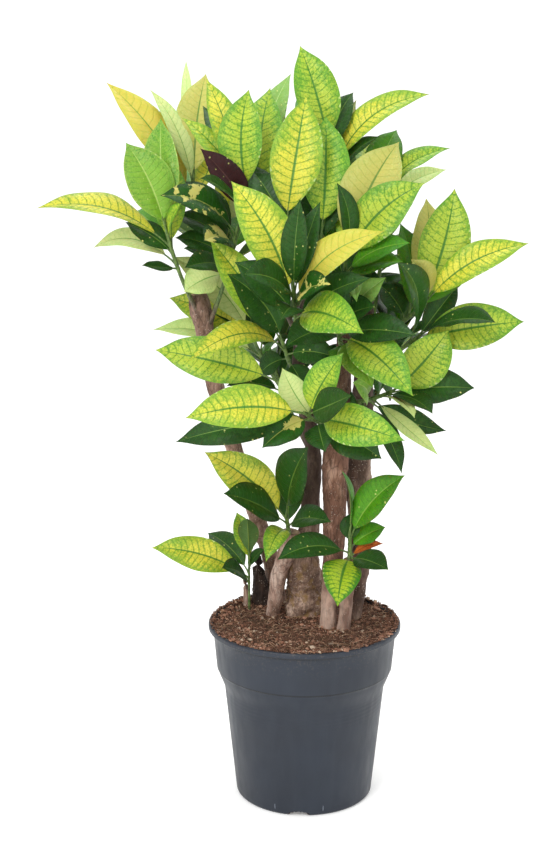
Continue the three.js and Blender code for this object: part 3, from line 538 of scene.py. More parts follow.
def soil_material():
    """Dark peat mixed with reddish coir, in patches and with pale flecks."""
    n = Nodes("soil_mix")
    grain = n.noise(420, 5, 0.7)
    n.ground(grain, 0.35, 0.65, "#30211a", "#75523f")
    n.paint(n.noise(38, 4), 0.42, 0.62, "#4a3b2a", 0.7)
    fleck = n.times(n.step(n.cells(260), 0.16, 0.08), n.step(n.noise(130), 0.58, 0.66), 0.6)
    n.cover(fleck, "#a88a70")
    n.bump(grain, 0.0022, 0.9)
    return n.finish(0.95, Specular_IOR_Level=0.25)


def crumb_material():
    """Loose crumbs: the tint tells peat, coir, bark bits and pale grains apart."""
    n = Nodes("soil_crumbs")
    n.ground(n.tint(), 0.0, 0.4, "#3f2a21", "#936650")
    n.paint(n.tint(), 0.4, 0.8, "#bf8f76")
    n.paint(n.tint(), 0.88, 0.96, "#dcc3aa")
    grain = n.noise(700, 4, 0.7)
    n.paint(grain, 0.35, 0.7, "#2c1e17", 0.5)
    n.paint(n.noise(26, 4), 0.42, 0.6, "#33251c", 0.5)
    n.bump(grain, 0.0008)
    return n.finish(0.92, Specular_IOR_Level=0.25)


def fibre_material():
    """Coir and roots, from brown to straw by their tint."""
    n = Nodes("soil_fibres")
    n.ground(n.tint(), 0.2, 0.8, "#7d523b", "#cfa988")
    n.paint(n.noise(300), 0.4, 0.7, "#4d3325", 0.5)
    return n.finish(0.8)


def paint_burl(n):
    """Scratches, pits and stains on the cane's swollen foot."""
    low = n.above(0.34, 0.3)
    n.cover(n.times(low, n.step(n.noise(230, 5, 0.8, rise=1.6), 0.55, 0.66)), "#b3a08d")
    n.cover(n.times(low, n.step(n.noise(170, 5, 0.75), 0.5, 0.62), 0.6), "#4a3328")
    n.cover(n.times(low, n.step(n.noise(75), 0.5, 0.66), 0.6), "#8a6b33")


def bark_material(name, dark, middle, pale, shade=0.46, shade_strength=0.55, dusty=0.08, burl=False):
    """Speckled bark with streaks, fine cracks and pale pores; cut ends where tinted.

    Above the height shade it is darkened, by the given strength, with painted shade that stands for the
    shadow of the leafy crown; near the soil it is dusty.
    """
    n = Nodes(name)
    streaks = n.noise(260, 5, 0.65, rise=0.22)
    patches = n.noise(42, 4, 0.6, rise=0.5)
    n.ground(patches, 0.36, 0.62, dark, middle)
    n.paint(patches, 0.52, 0.68, pale, 0.8)
    n.paint(streaks, 0.52, 0.34, "#453329", 0.6)
    cracks = n.cells(170, "DISTANCE_TO_EDGE", rise=0.3)
    n.paint(cracks, 0.09, 0.0, "#33261f", 0.5)
    pores = n.times(n.step(n.cells(330), 0.3, 0.18), n.step(n.noise(60), 0.45, 0.62))
    n.cover(n.times(pores, 0.55), "#c4b3a4")
    # Painted shade: the leafy crown's shadow, darkening the bark above the height shade.
    n.paint(n.height(), shade, shade + 0.14, "#3a2b22", shade_strength)
    dust = n.above(0.35, 0.25, 0, dusty)
    n.cover(n.times(dust, n.step(patches, 0.38, 0.58, 0.25, 1)), "#d8bfae")
    if burl:
        paint_burl(n)
    wood = n.blend(n.step(streaks, 0.35, 0.7), "#8b7357", "#b59b7a")
    n.paint(n.tint(), 0.4, 0.9, wood)
    n.bump(cracks, 0.0012, 0.6)
    n.bump(streaks, 0.0016, 0.8)
    n.bump(pores, 0.0004, 0.8)
    return n.finish(n.step(streaks, 0.3, 0.7, 0.9, 0.7), Specular_IOR_Level=0.35)


def stem_material():
    """Green shoots, browner and corky towards their foot, where the tint is low."""
    n = Nodes("green_stem")
    grain = n.noise(300, 4, 0.6, rise=0.4)
    green = n.blend(n.step(grain, 0.35, 0.65), "#3c5522", "#66803a")
    cork = n.blend(n.step(grain, 0.4, 0.65), "#43352a", "#6d5b47")
    n.ground(n.tint(), 0.15, 0.55, cork, green)
    n.cover(n.times(n.step(n.cells(500), 0.22, 0.12), 0.4), "#b9b884")
    n.bump(grain, 0.0006)
    return n.finish(0.55)


CREAM = "#bfba68"

# Ground by the midrib and by the margin, net, side veins, midrib and its width; how
# strong net, veins and quilting are; roughness; and the colour of blotches, if any.
LOOK_PARTS = "inner outer net vein midrib rib netting veining quilt rough blotch"
Look = namedtuple("Look", LOOK_PARTS, defaults=[""])
LEAF_LOOKS = {
    "gold": Look("#cbc648", "#8eab36", "#648f2b", "#4c7f26", "#3a7428", 0.035, 0.7, 0.75, 0.12, 0.4),
    "yellow": Look("#c2b650", "#b9b348", "#a3ab3c", "#8fa83c", "#5c8c32", 0.025, 0.35, 0.45, 0.05, 0.42),
    "lime": Look("#a9bb41", "#76a232", "#4f8628", "#3c7420", "#377024", 0.035, 0.85, 0.65, 0.1, 0.4),
    "quilted": Look("#a0b833", "#3f801b", "#35701a", "#2b6416", "#356f20", 0.05, 0.7, 0.6, 0.3, 0.4),
    "fresh": Look("#709c32", "#4a8126", "#8cab48", "#417722", "#9fb860", 0.022, 0.5, 0.35, 0.1, 0.4),
    "green": Look("#4f8a20", "#3b751b", "#2a5a16", "#5f9034", "#7ca044", 0.025, 0.4, 0.4, 0.1, 0.38),
    "dark": Look("#2a5319", "#1f4213", "#102a0c", "#28501d", "#66843a", 0.022, 0.4, 0.4, 0, 0.4),
    "cream": Look("#255415", "#1a4110", "#102a0c", "#28501d", "#96a04f", 0.022, 0.4, 0.4, 0, 0.42, CREAM),
    # The pale tone is partly the leaves' own pale colour and partly painted light: its brightness stands
    # for light shining through the thin blades.
    "pale": Look("#c3cf88", "#afc67c", "#93b860", "#86ae54", "#6c9a44", 0.025, 0.35, 0.35, 0, 0.5),
    "butter": Look("#b0ac5a", "#a9ac60", "#939a42", "#84963c", "#54782c", 0.03, 0.4, 0.45, 0, 0.48),
    "sage": Look("#7c9c4e", "#6d9444", "#5c8438", "#86a858", "#9cb46e", 0.025, 0.3, 0.4, 0, 0.5),
    "olive": Look("#65663a", "#545b30", "#444a28", "#70643a", "#7c5c38", 0.04, 0.4, 0.6, 0, 0.45),
    "plum": Look("#361819", "#251413", "#1c100f", "#432522", "#52342e", 0.025, 0.3, 0.4, 0, 0.45),
    "dry": Look("#b5652f", "#8f4522", "#6f3319", "#7d3f1f", "#5e2c18", 0.03, 0.5, 0.5, 0, 0.6),
}
UNDER_LOOKS = {
    "bright": Look("#b9c386", "#a8ba74", "#8caa58", "#84a44c", "#70963e", 0.03, 0.3, 0.45, 0, 0.6),
    "dull": Look("#4a6634", "#3f5c2c", "#355226", "#5c7a3e", "#788c44", 0.03, 0.25, 0.45, 0, 0.6),
}
BRIGHT_TONES = ("gold", "yellow", "lime", "quilted", "fresh", "pale", "butter")


def vein_part(n, foot):
    """0 on a side vein and 0.5 half way between two, which wander a little."""
    wander = n.plus(n.centred(n.noise(55, 2), 0.5), n.centred(n.noise(230, 2), 0.16))
    count = n.plus(n.times(foot, float(VEINS)), wander)
    return n.math("ABSOLUTE", n.minus(n.math("FRACT", n.plus(count, 0.5)), 0.5))


def blade_depth(n, look, foot, across, part):
    """0 by the midrib and at the foot, 1 to the margin and the tip, with clouds."""
    margin = n.times(n.math("POWER", across, 2.0), 0.45 + 1.4 * look.quilt)
    clouds = n.plus(n.centred(n.noise(24), 1.1), n.centred(n.noise(190, 4, 0.65), 1.1))
    depth = n.plus(margin, n.times(foot, 0.45), clouds, n.centred(n.tint(), 0.4))
    between = n.step(part, 0.04, 0.3, 0.6 * look.quilt, -0.5 * look.quilt)
    return n.math("ADD", depth, between, clamp=True)


def leaf_veins(n, across, part):
    """Thin side veins that are joined by arcs near the margin."""
    line = n.times(n.step(part, 0.07, 0.02), n.step(across, 0.95, 0.7))
    arch = n.times(n.math("POWER", n.minus(0.5, part), 2.0), 0.9)
    reach = n.minus(across, n.minus(0.9, arch))
    arc = n.step(n.math("ABSOLUTE", reach), 0.04, 0.008)
    return n.math("MAXIMUM", line, n.times(arc, 0.6))


def paint_net(n, look, depth, across, part):
    """Fine stipple, the net's cells and a band along every side vein."""
    stipple = n.plus(n.noise(360, 3, 0.65), n.times(depth, 0.14))
    n.paint(stipple, 0.53, 0.66, look.net, 0.85 * look.netting)
    cell = n.step(n.cells(250, "DISTANCE_TO_EDGE"), 0.13, 0.02)
    n.cover(n.times(cell, n.step(depth, 0.1, 0.9, 0.3, 1.0), 0.8 * look.netting), look.net)
    band = n.times(n.step(part, 0.16, 0.03), n.step(across, 0.98, 0.6))
    n.cover(n.times(band, 0.18 * look.veining), look.net)


def paint_spots(n, look, across, lively):
    """Cream blotches, if the tone has them, and pale specks."""
    if look.blotch:
        drift = n.plus(n.noise(38, 4, 0.6), n.times(across, -0.12))
        n.paint(drift, 0.47, 0.49, look.blotch)
    where = n.step(n.noise(30), 0.52, 0.6, 0, 0.3 if lively else 0.75)
    n.cover(n.times(n.step(n.cells(130), 0.18, 0.12), where), "#ccd07c")


def leaf_material(name, look, lively=False):
    """A variegated blade. UV x counts along the veins' feet and y runs across."""
    n = Nodes(name)
    uv = n.add("SeparateXYZ", {0: n.add("UVMap", uv_map="blade").outputs[0]}).outputs
    foot = uv["X"]
    across = n.math("ABSOLUTE", n.minus(n.times(uv["Y"], 2.0), 1.0))
    part = vein_part(n, foot)
    depth = blade_depth(n, look, foot, across, part)
    n.ground(depth, 0.1, 0.85, look.inner, look.outer)
    paint_net(n, look, depth, across, part)
    veins = leaf_veins(n, across, part)
    n.cover(n.times(veins, n.step(n.noise(90, 2), 0.3, 0.6, 0.5, 1.0), look.veining), look.vein)
    n.paint(across, 0.88, 1.0, look.net, 0.5)
    paint_spots(n, look, across, lively)
    rib = n.math("DIVIDE", across, n.step(foot, 0.0, 1.0, 1.7 * look.rib, 0.9 * look.rib))
    n.paint(rib, 1.5, 0.6, look.midrib, 0.9)
    spread = 0.14 if lively else 0.4
    value = n.plus(n.times(n.tint(), spread), 1.0 - spread / 2)
    toned = n.add("HueSaturation", {"Color": n.colour, "Value": value, "Saturation": 1.03})
    n.colour = toned.outputs[0]
    n.bump(n.noise(70, 2), 0.003, 0.5)
    n.bump(n.times(veins, -1.0), 0.0005, 0.7)
    n.bump(n.noise(640, 3, 0.6), 0.00022, 0.5)
    roughness = n.step(n.noise(120), 0.3, 0.7, look.rough - 0.04, look.rough + 0.12)
    gloss = 0.3 if lively else 0.22
    return n.finish(roughness, Subsurface_Weight=0.1, Subsurface_Scale=0.002, Specular_IOR_Level=gloss)


def floor_material():
    n = Nodes("pale_floor")
    n.ground(n.noise(2.0, 2), 0.3, 0.7, "#f8f8f7", "#fbfbfa")
    return n.finish(0.9, Emission_Color=(1, 1, 1, 1), Emission_Strength=0.16)


# ---- Pot ---------------------------------------------------------------------


def wall(z):
    """The radius of the plain lower wall at a height."""
    return BASE_RADIUS + (NECK_RADIUS - BASE_RADIUS) / (NECK_HEIGHT - BASE_EDGE) * (z - BASE_EDGE)


def quarter(radius, z, size, start, count):
    """Points of a quarter circle round a middle, from an angle in degrees up."""
    angles = [radians(start + 90 * k / (count - 1)) for k in range(count)]
    return [(radius + size * cos(a), z + size * sin(a)) for a in angles]


def pot_profile():
    """Radius and height round the wall's whole section, from the underside's centre."""
    shoulder = wall(SHOULDER_HEIGHT)
    lip = POT_HEIGHT - LIP_HEIGHT
    outside = [(0, 0), (BASE_RADIUS - 8, 0)]
    outside += quarter(BASE_RADIUS - BASE_EDGE, BASE_EDGE, BASE_EDGE, -90, 6)
    outside += [(wall(z), z) for z in (20, 40, 60, 80, 100, 120, 135, 148, SHOULDER_HEIGHT)]
    for share in np.arange(1, 9) / 8:
        bulge = mix(share, 0.5 - 0.5 * cos(pi * share), 0.3)
        z = mix(SHOULDER_HEIGHT, COLLAR_FOOT_HEIGHT - 0.6, share)
        outside.append((mix(shoulder, COLLAR_FOOT_RADIUS - 0.8, bulge), z))
    for share in (0.0, 0.02, 0.05, 0.35, 0.65, 1):
        z = mix(COLLAR_FOOT_HEIGHT, lip - 2, share)
        outside.append((mix(COLLAR_FOOT_RADIUS, COLLAR_TOP_RADIUS, share), z))
    outside += [(COLLAR_TOP_RADIUS + 0.6, lip - 0.8), (COLLAR_TOP_RADIUS + 2.2, lip)]
    outside += quarter(RIM_RADIUS - LIP_UNDER_ROUND, lip + 1.7, LIP_UNDER_ROUND, -90, 5)
    outside += quarter(RIM_RADIUS - LIP_ROUND, POT_HEIGHT - LIP_ROUND, LIP_ROUND, 0, 7)
    inside = [(RIM_RADIUS - 4.6, POT_HEIGHT - 0.2), (RIM_RADIUS - 5.8, POT_HEIGHT - 1)]
    inside += [(COLLAR_TOP_RADIUS - WALL + 0.6, POT_HEIGHT - 7)]
    inside += [(COLLAR_FOOT_RADIUS - WALL, COLLAR_FOOT_HEIGHT), (shoulder - WALL, SHOULDER_HEIGHT + 3)]
    inside += [(wall(80) - WALL, 80), (BASE_RADIUS - WALL, FLOOR + 3)]
    inside += [(BASE_RADIUS - WALL - 3, FLOOR), (0, FLOOR)]
    return outside + inside


def revolve(shape, profile, sides):
    """A closed body of revolution, whose profile starts and ends on the axis."""
    rings = profile[1:-1]
    points = [(*polar(r, angle), z) for r, z in rings for angle in circle(sides)]
    points += [(0, 0, profile[0][1]), (0, 0, profile[-1][1])]
    count = len(rings) * sides
    faces = grid_faces(len(rings), sides)
    for k in range(sides):
        d = (k + 1) % sides
        faces += [(count, d, k), (count + 1, count - sides + k, count - sides + d)]
    shape.add(points, faces)


def drain_cutter(turn):
    """An arched prism that cuts one drain at the foot of the pot."""
    half = DRAIN_WIDTH / 2
    arch = [(half, -2)]
    for k in range(13):
        angle = pi * k / 12
        arch.append((half * cos(angle), DRAIN_HEIGHT * sin(angle) ** 0.8 - 0.01))
    arch.append((-half, -2))
    c, s = cos(turn), sin(turn)
    depths = (-(BASE_RADIUS + 10), -(BASE_RADIUS - DRAIN_DEPTH))
    points = [(x * c - y * s, x * s + y * c, z) for y in depths for x, z in arch]
    count = len(arch)
    faces = [(k, count + k, count + (k + 1) % count, (k + 1) % count) for k in range(count)]
    faces += [tuple(range(count)), tuple(range(2 * count - 1, count - 1, -1))]
    return points, faces


def add_ticks(shape):
    """Short moulded ticks up the foot of the wall, one on each side of every drain."""
    rise = np.linspace(0, 1, 6)
    for drain in DRAIN_TURNS:
        for side in (-TICK_TURN, TICK_TURN):
            turn = drain + side - pi / 2
            centres = [(*polar(BASE_RADIUS + 0.2 + 0.9 * t, turn), 7 + 8 * t) for t in rise]
            # The tint of 1 paints the ticks lighter in the pot's material, a painted highlight.
            add_tube(shape, centres, 0.8 * np.sin(pi * mix(0.12, 0.88, rise)) + 0.1, 8, tint=1.0)


def cut_drains(pot):
    """Cuts the drains out of the pot's mesh."""
    drains = Shape()
    for turn in DRAIN_TURNS:
        drains.add(*drain_cutter(turn))
    cutter = drains.build("drain_cutter", [])
    cut = pot.modifiers.new("drains", "BOOLEAN")
    cut.object = cutter
    cut.operation = "DIFFERENCE"
    cut.solver = "EXACT"
    mesh = bpy.data.meshes.new_from_object(pot.evaluated_get(bpy.context.evaluated_depsgraph_get()))
    pot.modifiers.clear()
    pot.data = mesh
    bpy.data.objects.remove(cutter)


def make_pot(material):
    """The pot's body, its drains and its ticks as one piece."""
    body, ticks = Shape(), Shape()
    revolve(body, pot_profile(), POT_SIDES)
    pot = body.build("pot_fine", [material])
    cut_drains(pot)
    add_ticks(ticks)
    marks = ticks.build("pot_ticks", [material])
    merged = bmesh.new()
    merged.from_mesh(pot.data)
    merged.from_mesh(marks.data)
    merged.to_mesh(pot.data)
    merged.free()
    bpy.data.objects.remove(marks)
    pot.data.set_sharp_from_angle(angle=radians(POT_SHARP))
    return pot


# ---- Soil --------------------------------------------------------------------


def soil_height(x, y):
    """The height of the lumpy surface, which rises to the pot's edge."""
    share = min(1, hypot(x, y) / RIM_RADIUS)
    lump = noise.fractal(Vector((x, y, 0)) * 0.05, 0.8, 2.0, 4)
    crumb = noise.fractal(Vector((x, y, 40)) * 0.28, 0.7, 2.0, 3)
    return mix(SOIL_MIDDLE_HEIGHT, SOIL_EDGE_HEIGHT, share**3) + 2.2 * lump + 0.9 * crumb


def add_soil_body(shape):
    """The earth that fills the pot."""
    sides = SOIL_SIDES
    points = [(0, 0, soil_height(0, 0))]
    for radius in np.linspace(3, SOIL_RADIUS - 1.5, SOIL_RINGS):
        spots = [polar(radius, angle) for angle in circle(sides)]
        points += [(x, y, soil_height(x, y)) for x, y in spots]
    points += [(*polar(r, angle), z) for r, z in SOIL_WALL for angle in circle(sides)]
    rings = SOIL_RINGS + len(SOIL_WALL)
    faces = [tuple(v + 1 for v in reversed(face)) for face in grid_faces(rings, sides)]
    faces += [(0, 1 + k, 1 + (k + 1) % sides) for k in range(sides)]
    faces.append(tuple(range(rings * sides, (rings - 1) * sides, -1)))
    shape.add(points, faces)


def ball(fine):
    """Points and faces of a ball, of eight faces if it is fine."""
    mesh = bmesh.new()
    if fine:
        bmesh.ops.create_uvsphere(mesh, u_segments=4, v_segments=2, radius=1)
    else:
        bmesh.ops.create_icosphere(mesh, subdivisions=1, radius=1)
    points = np.array([v.co for v in mesh.verts])
    faces = [tuple(v.index for v in face.verts) for face in mesh.faces]
    mesh.free()
    return points, faces


BALLS = {fine: ball(fine) for fine in (False, True)}


def stone(draw, size, flat=1.0, fine=False):
    """A lumpy little stone: a squashed, dented and turned ball."""
    points, faces = BALLS[fine]
    stretch = [draw.uniform(0.7, 1.3), draw.uniform(0.6, 1.0), draw.uniform(0.5, 0.9) * flat]
    dents = np.array([draw.uniform(0.75, 1.2) for _ in points])
    turn = draw.uniform(0, tau)
    tilt = draw.uniform(-0.6, 0.6)
    points = points * dents[:, None] * stretch * size
    c, s = cos(turn), sin(turn)
    points = points @ np.array([[c, s, 0], [-s, c, 0], [0, 0, 1]])
    c, s = cos(tilt), sin(tilt)
    return points @ np.array([[1, 0, 0], [0, c, s], [0, -s, c]]), faces


def add_crumbs(shape):
    """Fine grains, some larger lumps and flat chips of bark, up to the pot's rim."""
    draw = random.Random(21)
    kinds = [kind for kind, row in STONES.items() for _ in range(row[0])]
    for k, kind in enumerate(kinds):
        _, low, high, flat, fine = STONES[kind]
        angle = draw.uniform(0, tau)
        radius = STONE_REACH * sqrt(draw.random()) if k % 3 else draw.uniform(*EDGE_RADII)
        x, y = polar(radius, angle)
        size = mix(low, high, draw.random() ** 2)
        if radius < SOIL_RADIUS:
            z = soil_height(x, y) + 0.35 * size
        else:
            z = POT_HEIGHT - 0.8 + draw.uniform(0.5, 3.5)
        points, faces = stone(draw, size, flat, fine)
        tint = draw.uniform(0.4, 1.0) if kind == "chip" else draw.random() ** 1.3
        shape.add(points + (x, y, z), faces, 1, tint=tint)


def add_clumps(shape):
    """Heaps of earth on the edge, at the back right and the back left."""
    draw = random.Random(24)
    for middle, spread, top in CLUMPS:
        for _ in range(CLUMP_STONES):
            share = draw.gauss(0, 0.5)
            place = polar(draw.uniform(*CLUMP_RADII), middle + spread * share)
            z = POT_HEIGHT + top * exp(-(share**2) * 2) * draw.random()
            points, faces = stone(draw, draw.uniform(1.2, 2.6))
            shape.add(points + (*place, z), faces, 1, tint=draw.random() ** 2)


def add_drain_crumbs(shape):
    """Dark earth that clings to the arch of every drain."""
    draw = random.Random(23)
    for k in range(DRAIN_COUNT * DRAIN_STONES):
        arch = draw.uniform(0.08, 0.92) * pi
        turn = DRAIN_TURNS[k % DRAIN_COUNT] - pi / 2
        turn += DRAIN_WIDTH / 2 * cos(arch) / BASE_RADIUS
        place = polar(BASE_RADIUS - draw.uniform(0.8, 4.5), turn)
        size = draw.uniform(0.6, 1.3)
        z = max(size, DRAIN_HEIGHT * sin(arch) ** 0.8 - draw.uniform(0.3, 1.0))
        points, faces = stone(draw, size)
        shape.add(points + (*place, z), faces, 1, tint=draw.uniform(0, 0.12))


def add_fibres(shape):
    """Thin bent fibres that lie on the soil with their middles raised."""
    draw = random.Random(22)
    steps = len(FIBRE_RADII) - 1
    for _ in range(FIBRE_COUNT):
        angle = draw.uniform(0, tau)
        x, y = polar(FIBRE_START * sqrt(draw.random()), angle)
        heading = draw.uniform(0, tau)
        bend = draw.uniform(-0.35, 0.35)
        length = draw.uniform(5, 20)
        rise = draw.uniform(0.3, 3.2)
        centres = []
        for k in range(steps + 1):
            z = soil_height(x, y) if hypot(x, y) < FIBRE_EDGE else POT_HEIGHT - 0.5
            centres.append((x, y, z + 0.2 + rise * sin(pi * k / steps)))
            heading += bend
            x += cos(heading) * length / steps
            y += sin(heading) * length / steps
            back = min(1, FIBRE_REACH / hypot(x, y))
            x, y = x * back, y * back
        add_tube(shape, centres, FIBRE_RADII, 4, 2, draw.random())


def make_soil():
    shape = Shape()
    add_soil_body(shape)
    add_crumbs(shape)
    add_clumps(shape)
    add_drain_crumbs(shape)
    add_fibres(shape)
    return shape.build("soil_fine", [soil_material(), crumb_material(), fibre_material()])


# ---- Canes -------------------------------------------------------------------


def catmull(points, k, weight):
    """A centripetal Catmull-Rom spline, at a weight from point k to the next."""
    p1, p2 = points[k], points[k + 1]
    p0 = points[k - 1] if k else 2 * points[0] - points[1]
    p3 = points[k + 2] if k + 2 < len(points) else 2 * points[-1] - points[-2]
    d0, d1, d2 = ((a - b).length ** 0.5 for a, b in ((p0, p1), (p1, p2), (p2, p3)))
    t1 = ((p1 - p0) / d0 - (p2 - p0) / (d0 + d1) + (p2 - p1) / d1) * d1
    t2 = ((p2 - p1) / d1 - (p3 - p1) / (d1 + d2) + (p3 - p2) / d2) * d1
    square = 3 * (p2 - p1) - 2 * t1 - t2
    cube = 2 * (p1 - p2) + t1 + t2
    return p1 + t1 * weight + square * weight**2 + cube * weight**3


def cane_at(name, t):
    """The cane's middle and radius at t along it."""
    rows = CANES[name]
    place = t * (len(rows) - 1)
    k = min(int(place), len(rows) - 2)
    middle = catmull([Vector(row[:3]) for row in rows], k, place - k)
    return middle, mix(rows[k][3], rows[k + 1][3], place - k)


def cane_middle(name, height):
    """The middle of the cane's coarse path at a height, where a stem is rooted."""
    rows = CANES[name]
    steps = max(len(rows) - 1, round((rows[-1][2] - rows[0][2]) / CANE_STEP))
    centres = [cane_at(name, k / steps)[0] for k in range(steps + 1)]
    above = max(1, next(k for k, c in enumerate(centres) if c.z >= height))
    low, high = centres[above - 1], centres[above]
    return low.lerp(high, (height - low.z) / (high.z - low.z))


def bark_bulge(name, spot, seed):
    """How far the bark stands out at a spot, as a share of the radius, and its ridges."""
    x, y, z = spot
    ridge = noise.noise((x * 0.16 + seed, y * 0.16, z * 0.03))
    knot = noise.noise((x * 0.06, y * 0.06 + seed, z * 0.045))
    fine = noise.fractal((x * 0.5, y * 0.5, z * 0.22 + seed), 0.7, 2.0, 3)
    bulge = 0.07 * ridge + 0.11 * knot + 0.035 * fine
    if name == "cane_middle":
        lump = noise.noise((x * 0.11, y * 0.11 + 5, z * 0.1))
        bulge += (1 - smooth(*BURL_TOP, z)) * (0.2 * lump + 0.05 * fine)
    if name.startswith("stump"):
        bulge += 0.0315 * fine + 0.16 * noise.noise(spot * 0.22 + Vector((seed, 0, 0)))
    return bulge, abs(ridge)


def bark_swell(name, centres, radii):
    """The scale of a cane's radius at each ring and side: knots, ridges, scars and flare."""
    seed = 13.7 * list(CANES).index(name)
    swell = np.ones((len(centres), CANE_SIDES))
    for ring, (centre, radius) in enumerate(zip(centres, radii)):
        z = centre[2]
        flare = 0.16 * exp(-max(0, z - FLARE_HEIGHT) / 14)
        scar = 0.028 * max(0, sin(z * 0.17 + seed) + 0.6 * sin(z * 0.41 + seed)) ** 2
        for k, angle in enumerate(circle(CANE_SIDES)):
            bulge, ridge = bark_bulge(name, Vector((*polar(radius, angle), z)), seed)
            swell[ring, k] += bulge + scar + flare * (0.6 + 0.8 * ridge)
    return swell


def ragged_top(centres, length):
    """How far a broken stump's upper rings are drawn down at each side."""
    slide = np.zeros((len(centres), CANE_SIDES))
    for ring, centre in enumerate(centres):
        share = smooth(centres[-1][2] - 0.6 * length, centres[-1][2], centre[2])
        for k, angle in enumerate(circle(CANE_SIDES)):
            spot = Vector((*polar(1, angle), length * 0.1))
            tear = 0.5 + 0.5 * noise.noise(spot * 1.3) + 0.35 * noise.noise(spot * 4.7)
            slide[ring, k] = -share * length * 0.42 * max(0.0, tear)
    return slide


def make_cane(name, material):
    """One cane or stump with its bark's relief, from below the soil to its top."""
    rows = CANES[name]
    length = sum((Vector(a[:3]) - Vector(b[:3])).length for a, b in zip(rows, rows[1:]))
    steps = max(12, round(length / BARK_STEP))
    middles = [cane_at(name, k / steps) for k in range(steps + 1)]
    foot, top = middles[0][0], middles[-1][0]
    along = (top - middles[-2][0]).normalized()
    below = [(foot - Vector((0, 0, depth)), rows[0][3] * share) for depth, share in CANE_FOOT]
    dome = [(top + along * rise, rows[-1][3] * share) for rise, share in CANE_DOME]
    centres, radii = zip(*below, *middles, *dome)
    broken = name.startswith("stump")
    cut = np.zeros(len(centres))
    cut[-4:] = 0.0 if broken else 1.0
    slide = ragged_top(centres, length) if broken else None
    shape = Shape()
    add_tube(shape, centres, radii, CANE_SIDES, 0, cut, bark_swell(name, centres, radii), slide)
    return shape.build(name + "_fine", [material], 60)


# ---- Stems -------------------------------------------------------------------

STEM_SLOT = len(LEAF_LOOKS)
UNDER_SLOTS = {True: STEM_SLOT + 1, False: STEM_SLOT + 2}  # for bright tones and others


class Bezier:
    """A quadratic Bezier curve."""

    def __init__(self, start, bend, end):
        self.start, self.bend, self.end = start, bend, end

    def at(self, t):
        return self.start * (1 - t) ** 2 + self.bend * 2 * t * (1 - t) + self.end * t * t

    def tangent(self, t):
        return ((self.bend - self.start) * (1 - t) + (self.end - self.bend) * t).normalized()

    def length(self):
        places = [self.at(k / 200) for k in range(201)]
        return sum((b - a).length for a, b in zip(places, places[1:]))


def stem_curve(cane, start, head):
    root = cane_middle(cane, start) if cane else Vector(start)
    head = Vector(head)
    bend = Vector((mix(root.x, head.x, 0.62), mix(root.y, head.y, 0.62), mix(root.z, head.z, 0.4)))
    return Bezier(root, bend, head)


def add_stem(shape, cane, curve, scars):
    """The stem with a swelling at every leaf's foot, a corky base and a pointed bud."""
    scale = 1 if cane else SPROUT_SHARE
    length = curve.length()
    centres, radii, tint = [], [], []
    for t in np.arange(STEM_RINGS + 1) / STEM_RINGS:
        root = 0.5 * exp(-t * length / 12) if cane else 0
        bumps = sum(0.22 * exp(-(((t - scar) * length / 2.2) ** 2)) for scar in scars)
        centres.append(curve.at(t))
        radii.append(scale * mix(STEM_ROOT_RADIUS, STEM_TIP_RADIUS, t) * (1 + root + min(0.35, bumps)))
        tint.append(mix(0.1, 1.0, smooth(0.1, 0.7, t)))
    for rise, share in ((0.25, 0.75), (0.6, 0.42), (1.0, 0.12)):
        centres.append(curve.end + curve.tangent(1) * rise * BUD_LENGTH)
        radii.append(scale * STEM_TIP_RADIUS * share)
        tint.append(1.0)
    add_tube(shape, centres, radii, STEM_SIDES, STEM_SLOT, tint)


# ---- Leaves ------------------------------------------------------------------


def scar_at(curve, rank):
    """How far along the stem the leaf of a rank stands; rank 0 is the uppermost."""
    return max(0.3, 1 - (FIRST_LEAF + LEAF_SPACING * rank) / curve.length())


def leaf_spine(curve, tip, scar, bow, turn):
    """The midrib's curve and the way the blade faces, as in the solids."""
    axis = curve.tangent(1)
    base = curve.at(scar)
    chord = tip - base
    length = chord.length
    chord.normalize()
    upper = (axis - chord * axis.dot(chord)).normalized()
    front = (FRONT - chord * FRONT.dot(chord)).normalized()
    middle = base.lerp(tip, 0.5) + upper * 2 * bow * length
    return Bezier(base, middle, tip), upper.lerp(front, turn).normalized(), length


def half_width(share):
    """Half the width of a blade 1 wide, drawn out to a point at its tip."""
    share = np.clip(share, 1e-6, 1 - 1e-6)
    power = 0.85 + 0.3 * smooth(0.75, 1.0, share)
    return 0.5 * np.sin(pi * share**0.88) ** power


def blade_faces():
    """Faces of a blade's upper skin and of the lower one, which meet at its edge."""
    columns = len(COLUMNS)
    top = np.arange(ROWS * columns).reshape(ROWS, columns)
    low = top + ROWS * columns
    low[:, 0], low[:, -1], low[-1] = top[:, 0], top[:, -1], top[-1]
    upper = grid_faces(ROWS, columns, closed=False)
    flat = low.ravel().tolist()
    lower = [tuple(flat[v] for v in reversed(quad)) for quad in upper]
    foot = [(flat[c], flat[c + 1], c + 1, c) for c in range(columns - 1)]
    return upper, lower + [tuple(dict.fromkeys(quad)) for quad in foot]


UPPER_FACES, LOWER_FACES = blade_faces()


def blade_lift(draw, share, half):
    """How far the upper skin stands off the midrib's plane: fold, waves and quilting."""
    out = np.abs(COLUMNS)
    lift = LEAF_FOLD * draw.uniform(0.8, 1.15) * half * out
    lift += 0.09 * half * np.sin(pi * out)
    for sign in (-1, 1):
        wave = np.sin(tau * (draw.uniform(1.4, 2.4) * share + draw.random()))
        lift += np.where(sign * COLUMNS > 0, draw.uniform(0.02, 0.075) * half * out**2 * wave, 0)
    valley = (np.arange(ROWS) % 2)[:, None]
    lift += 0.42 * valley * np.sin(pi * out) ** 0.7 * np.minimum(1, half / 14)
    return lift + np.where(COLUMNS == 0, 0.3, 0)


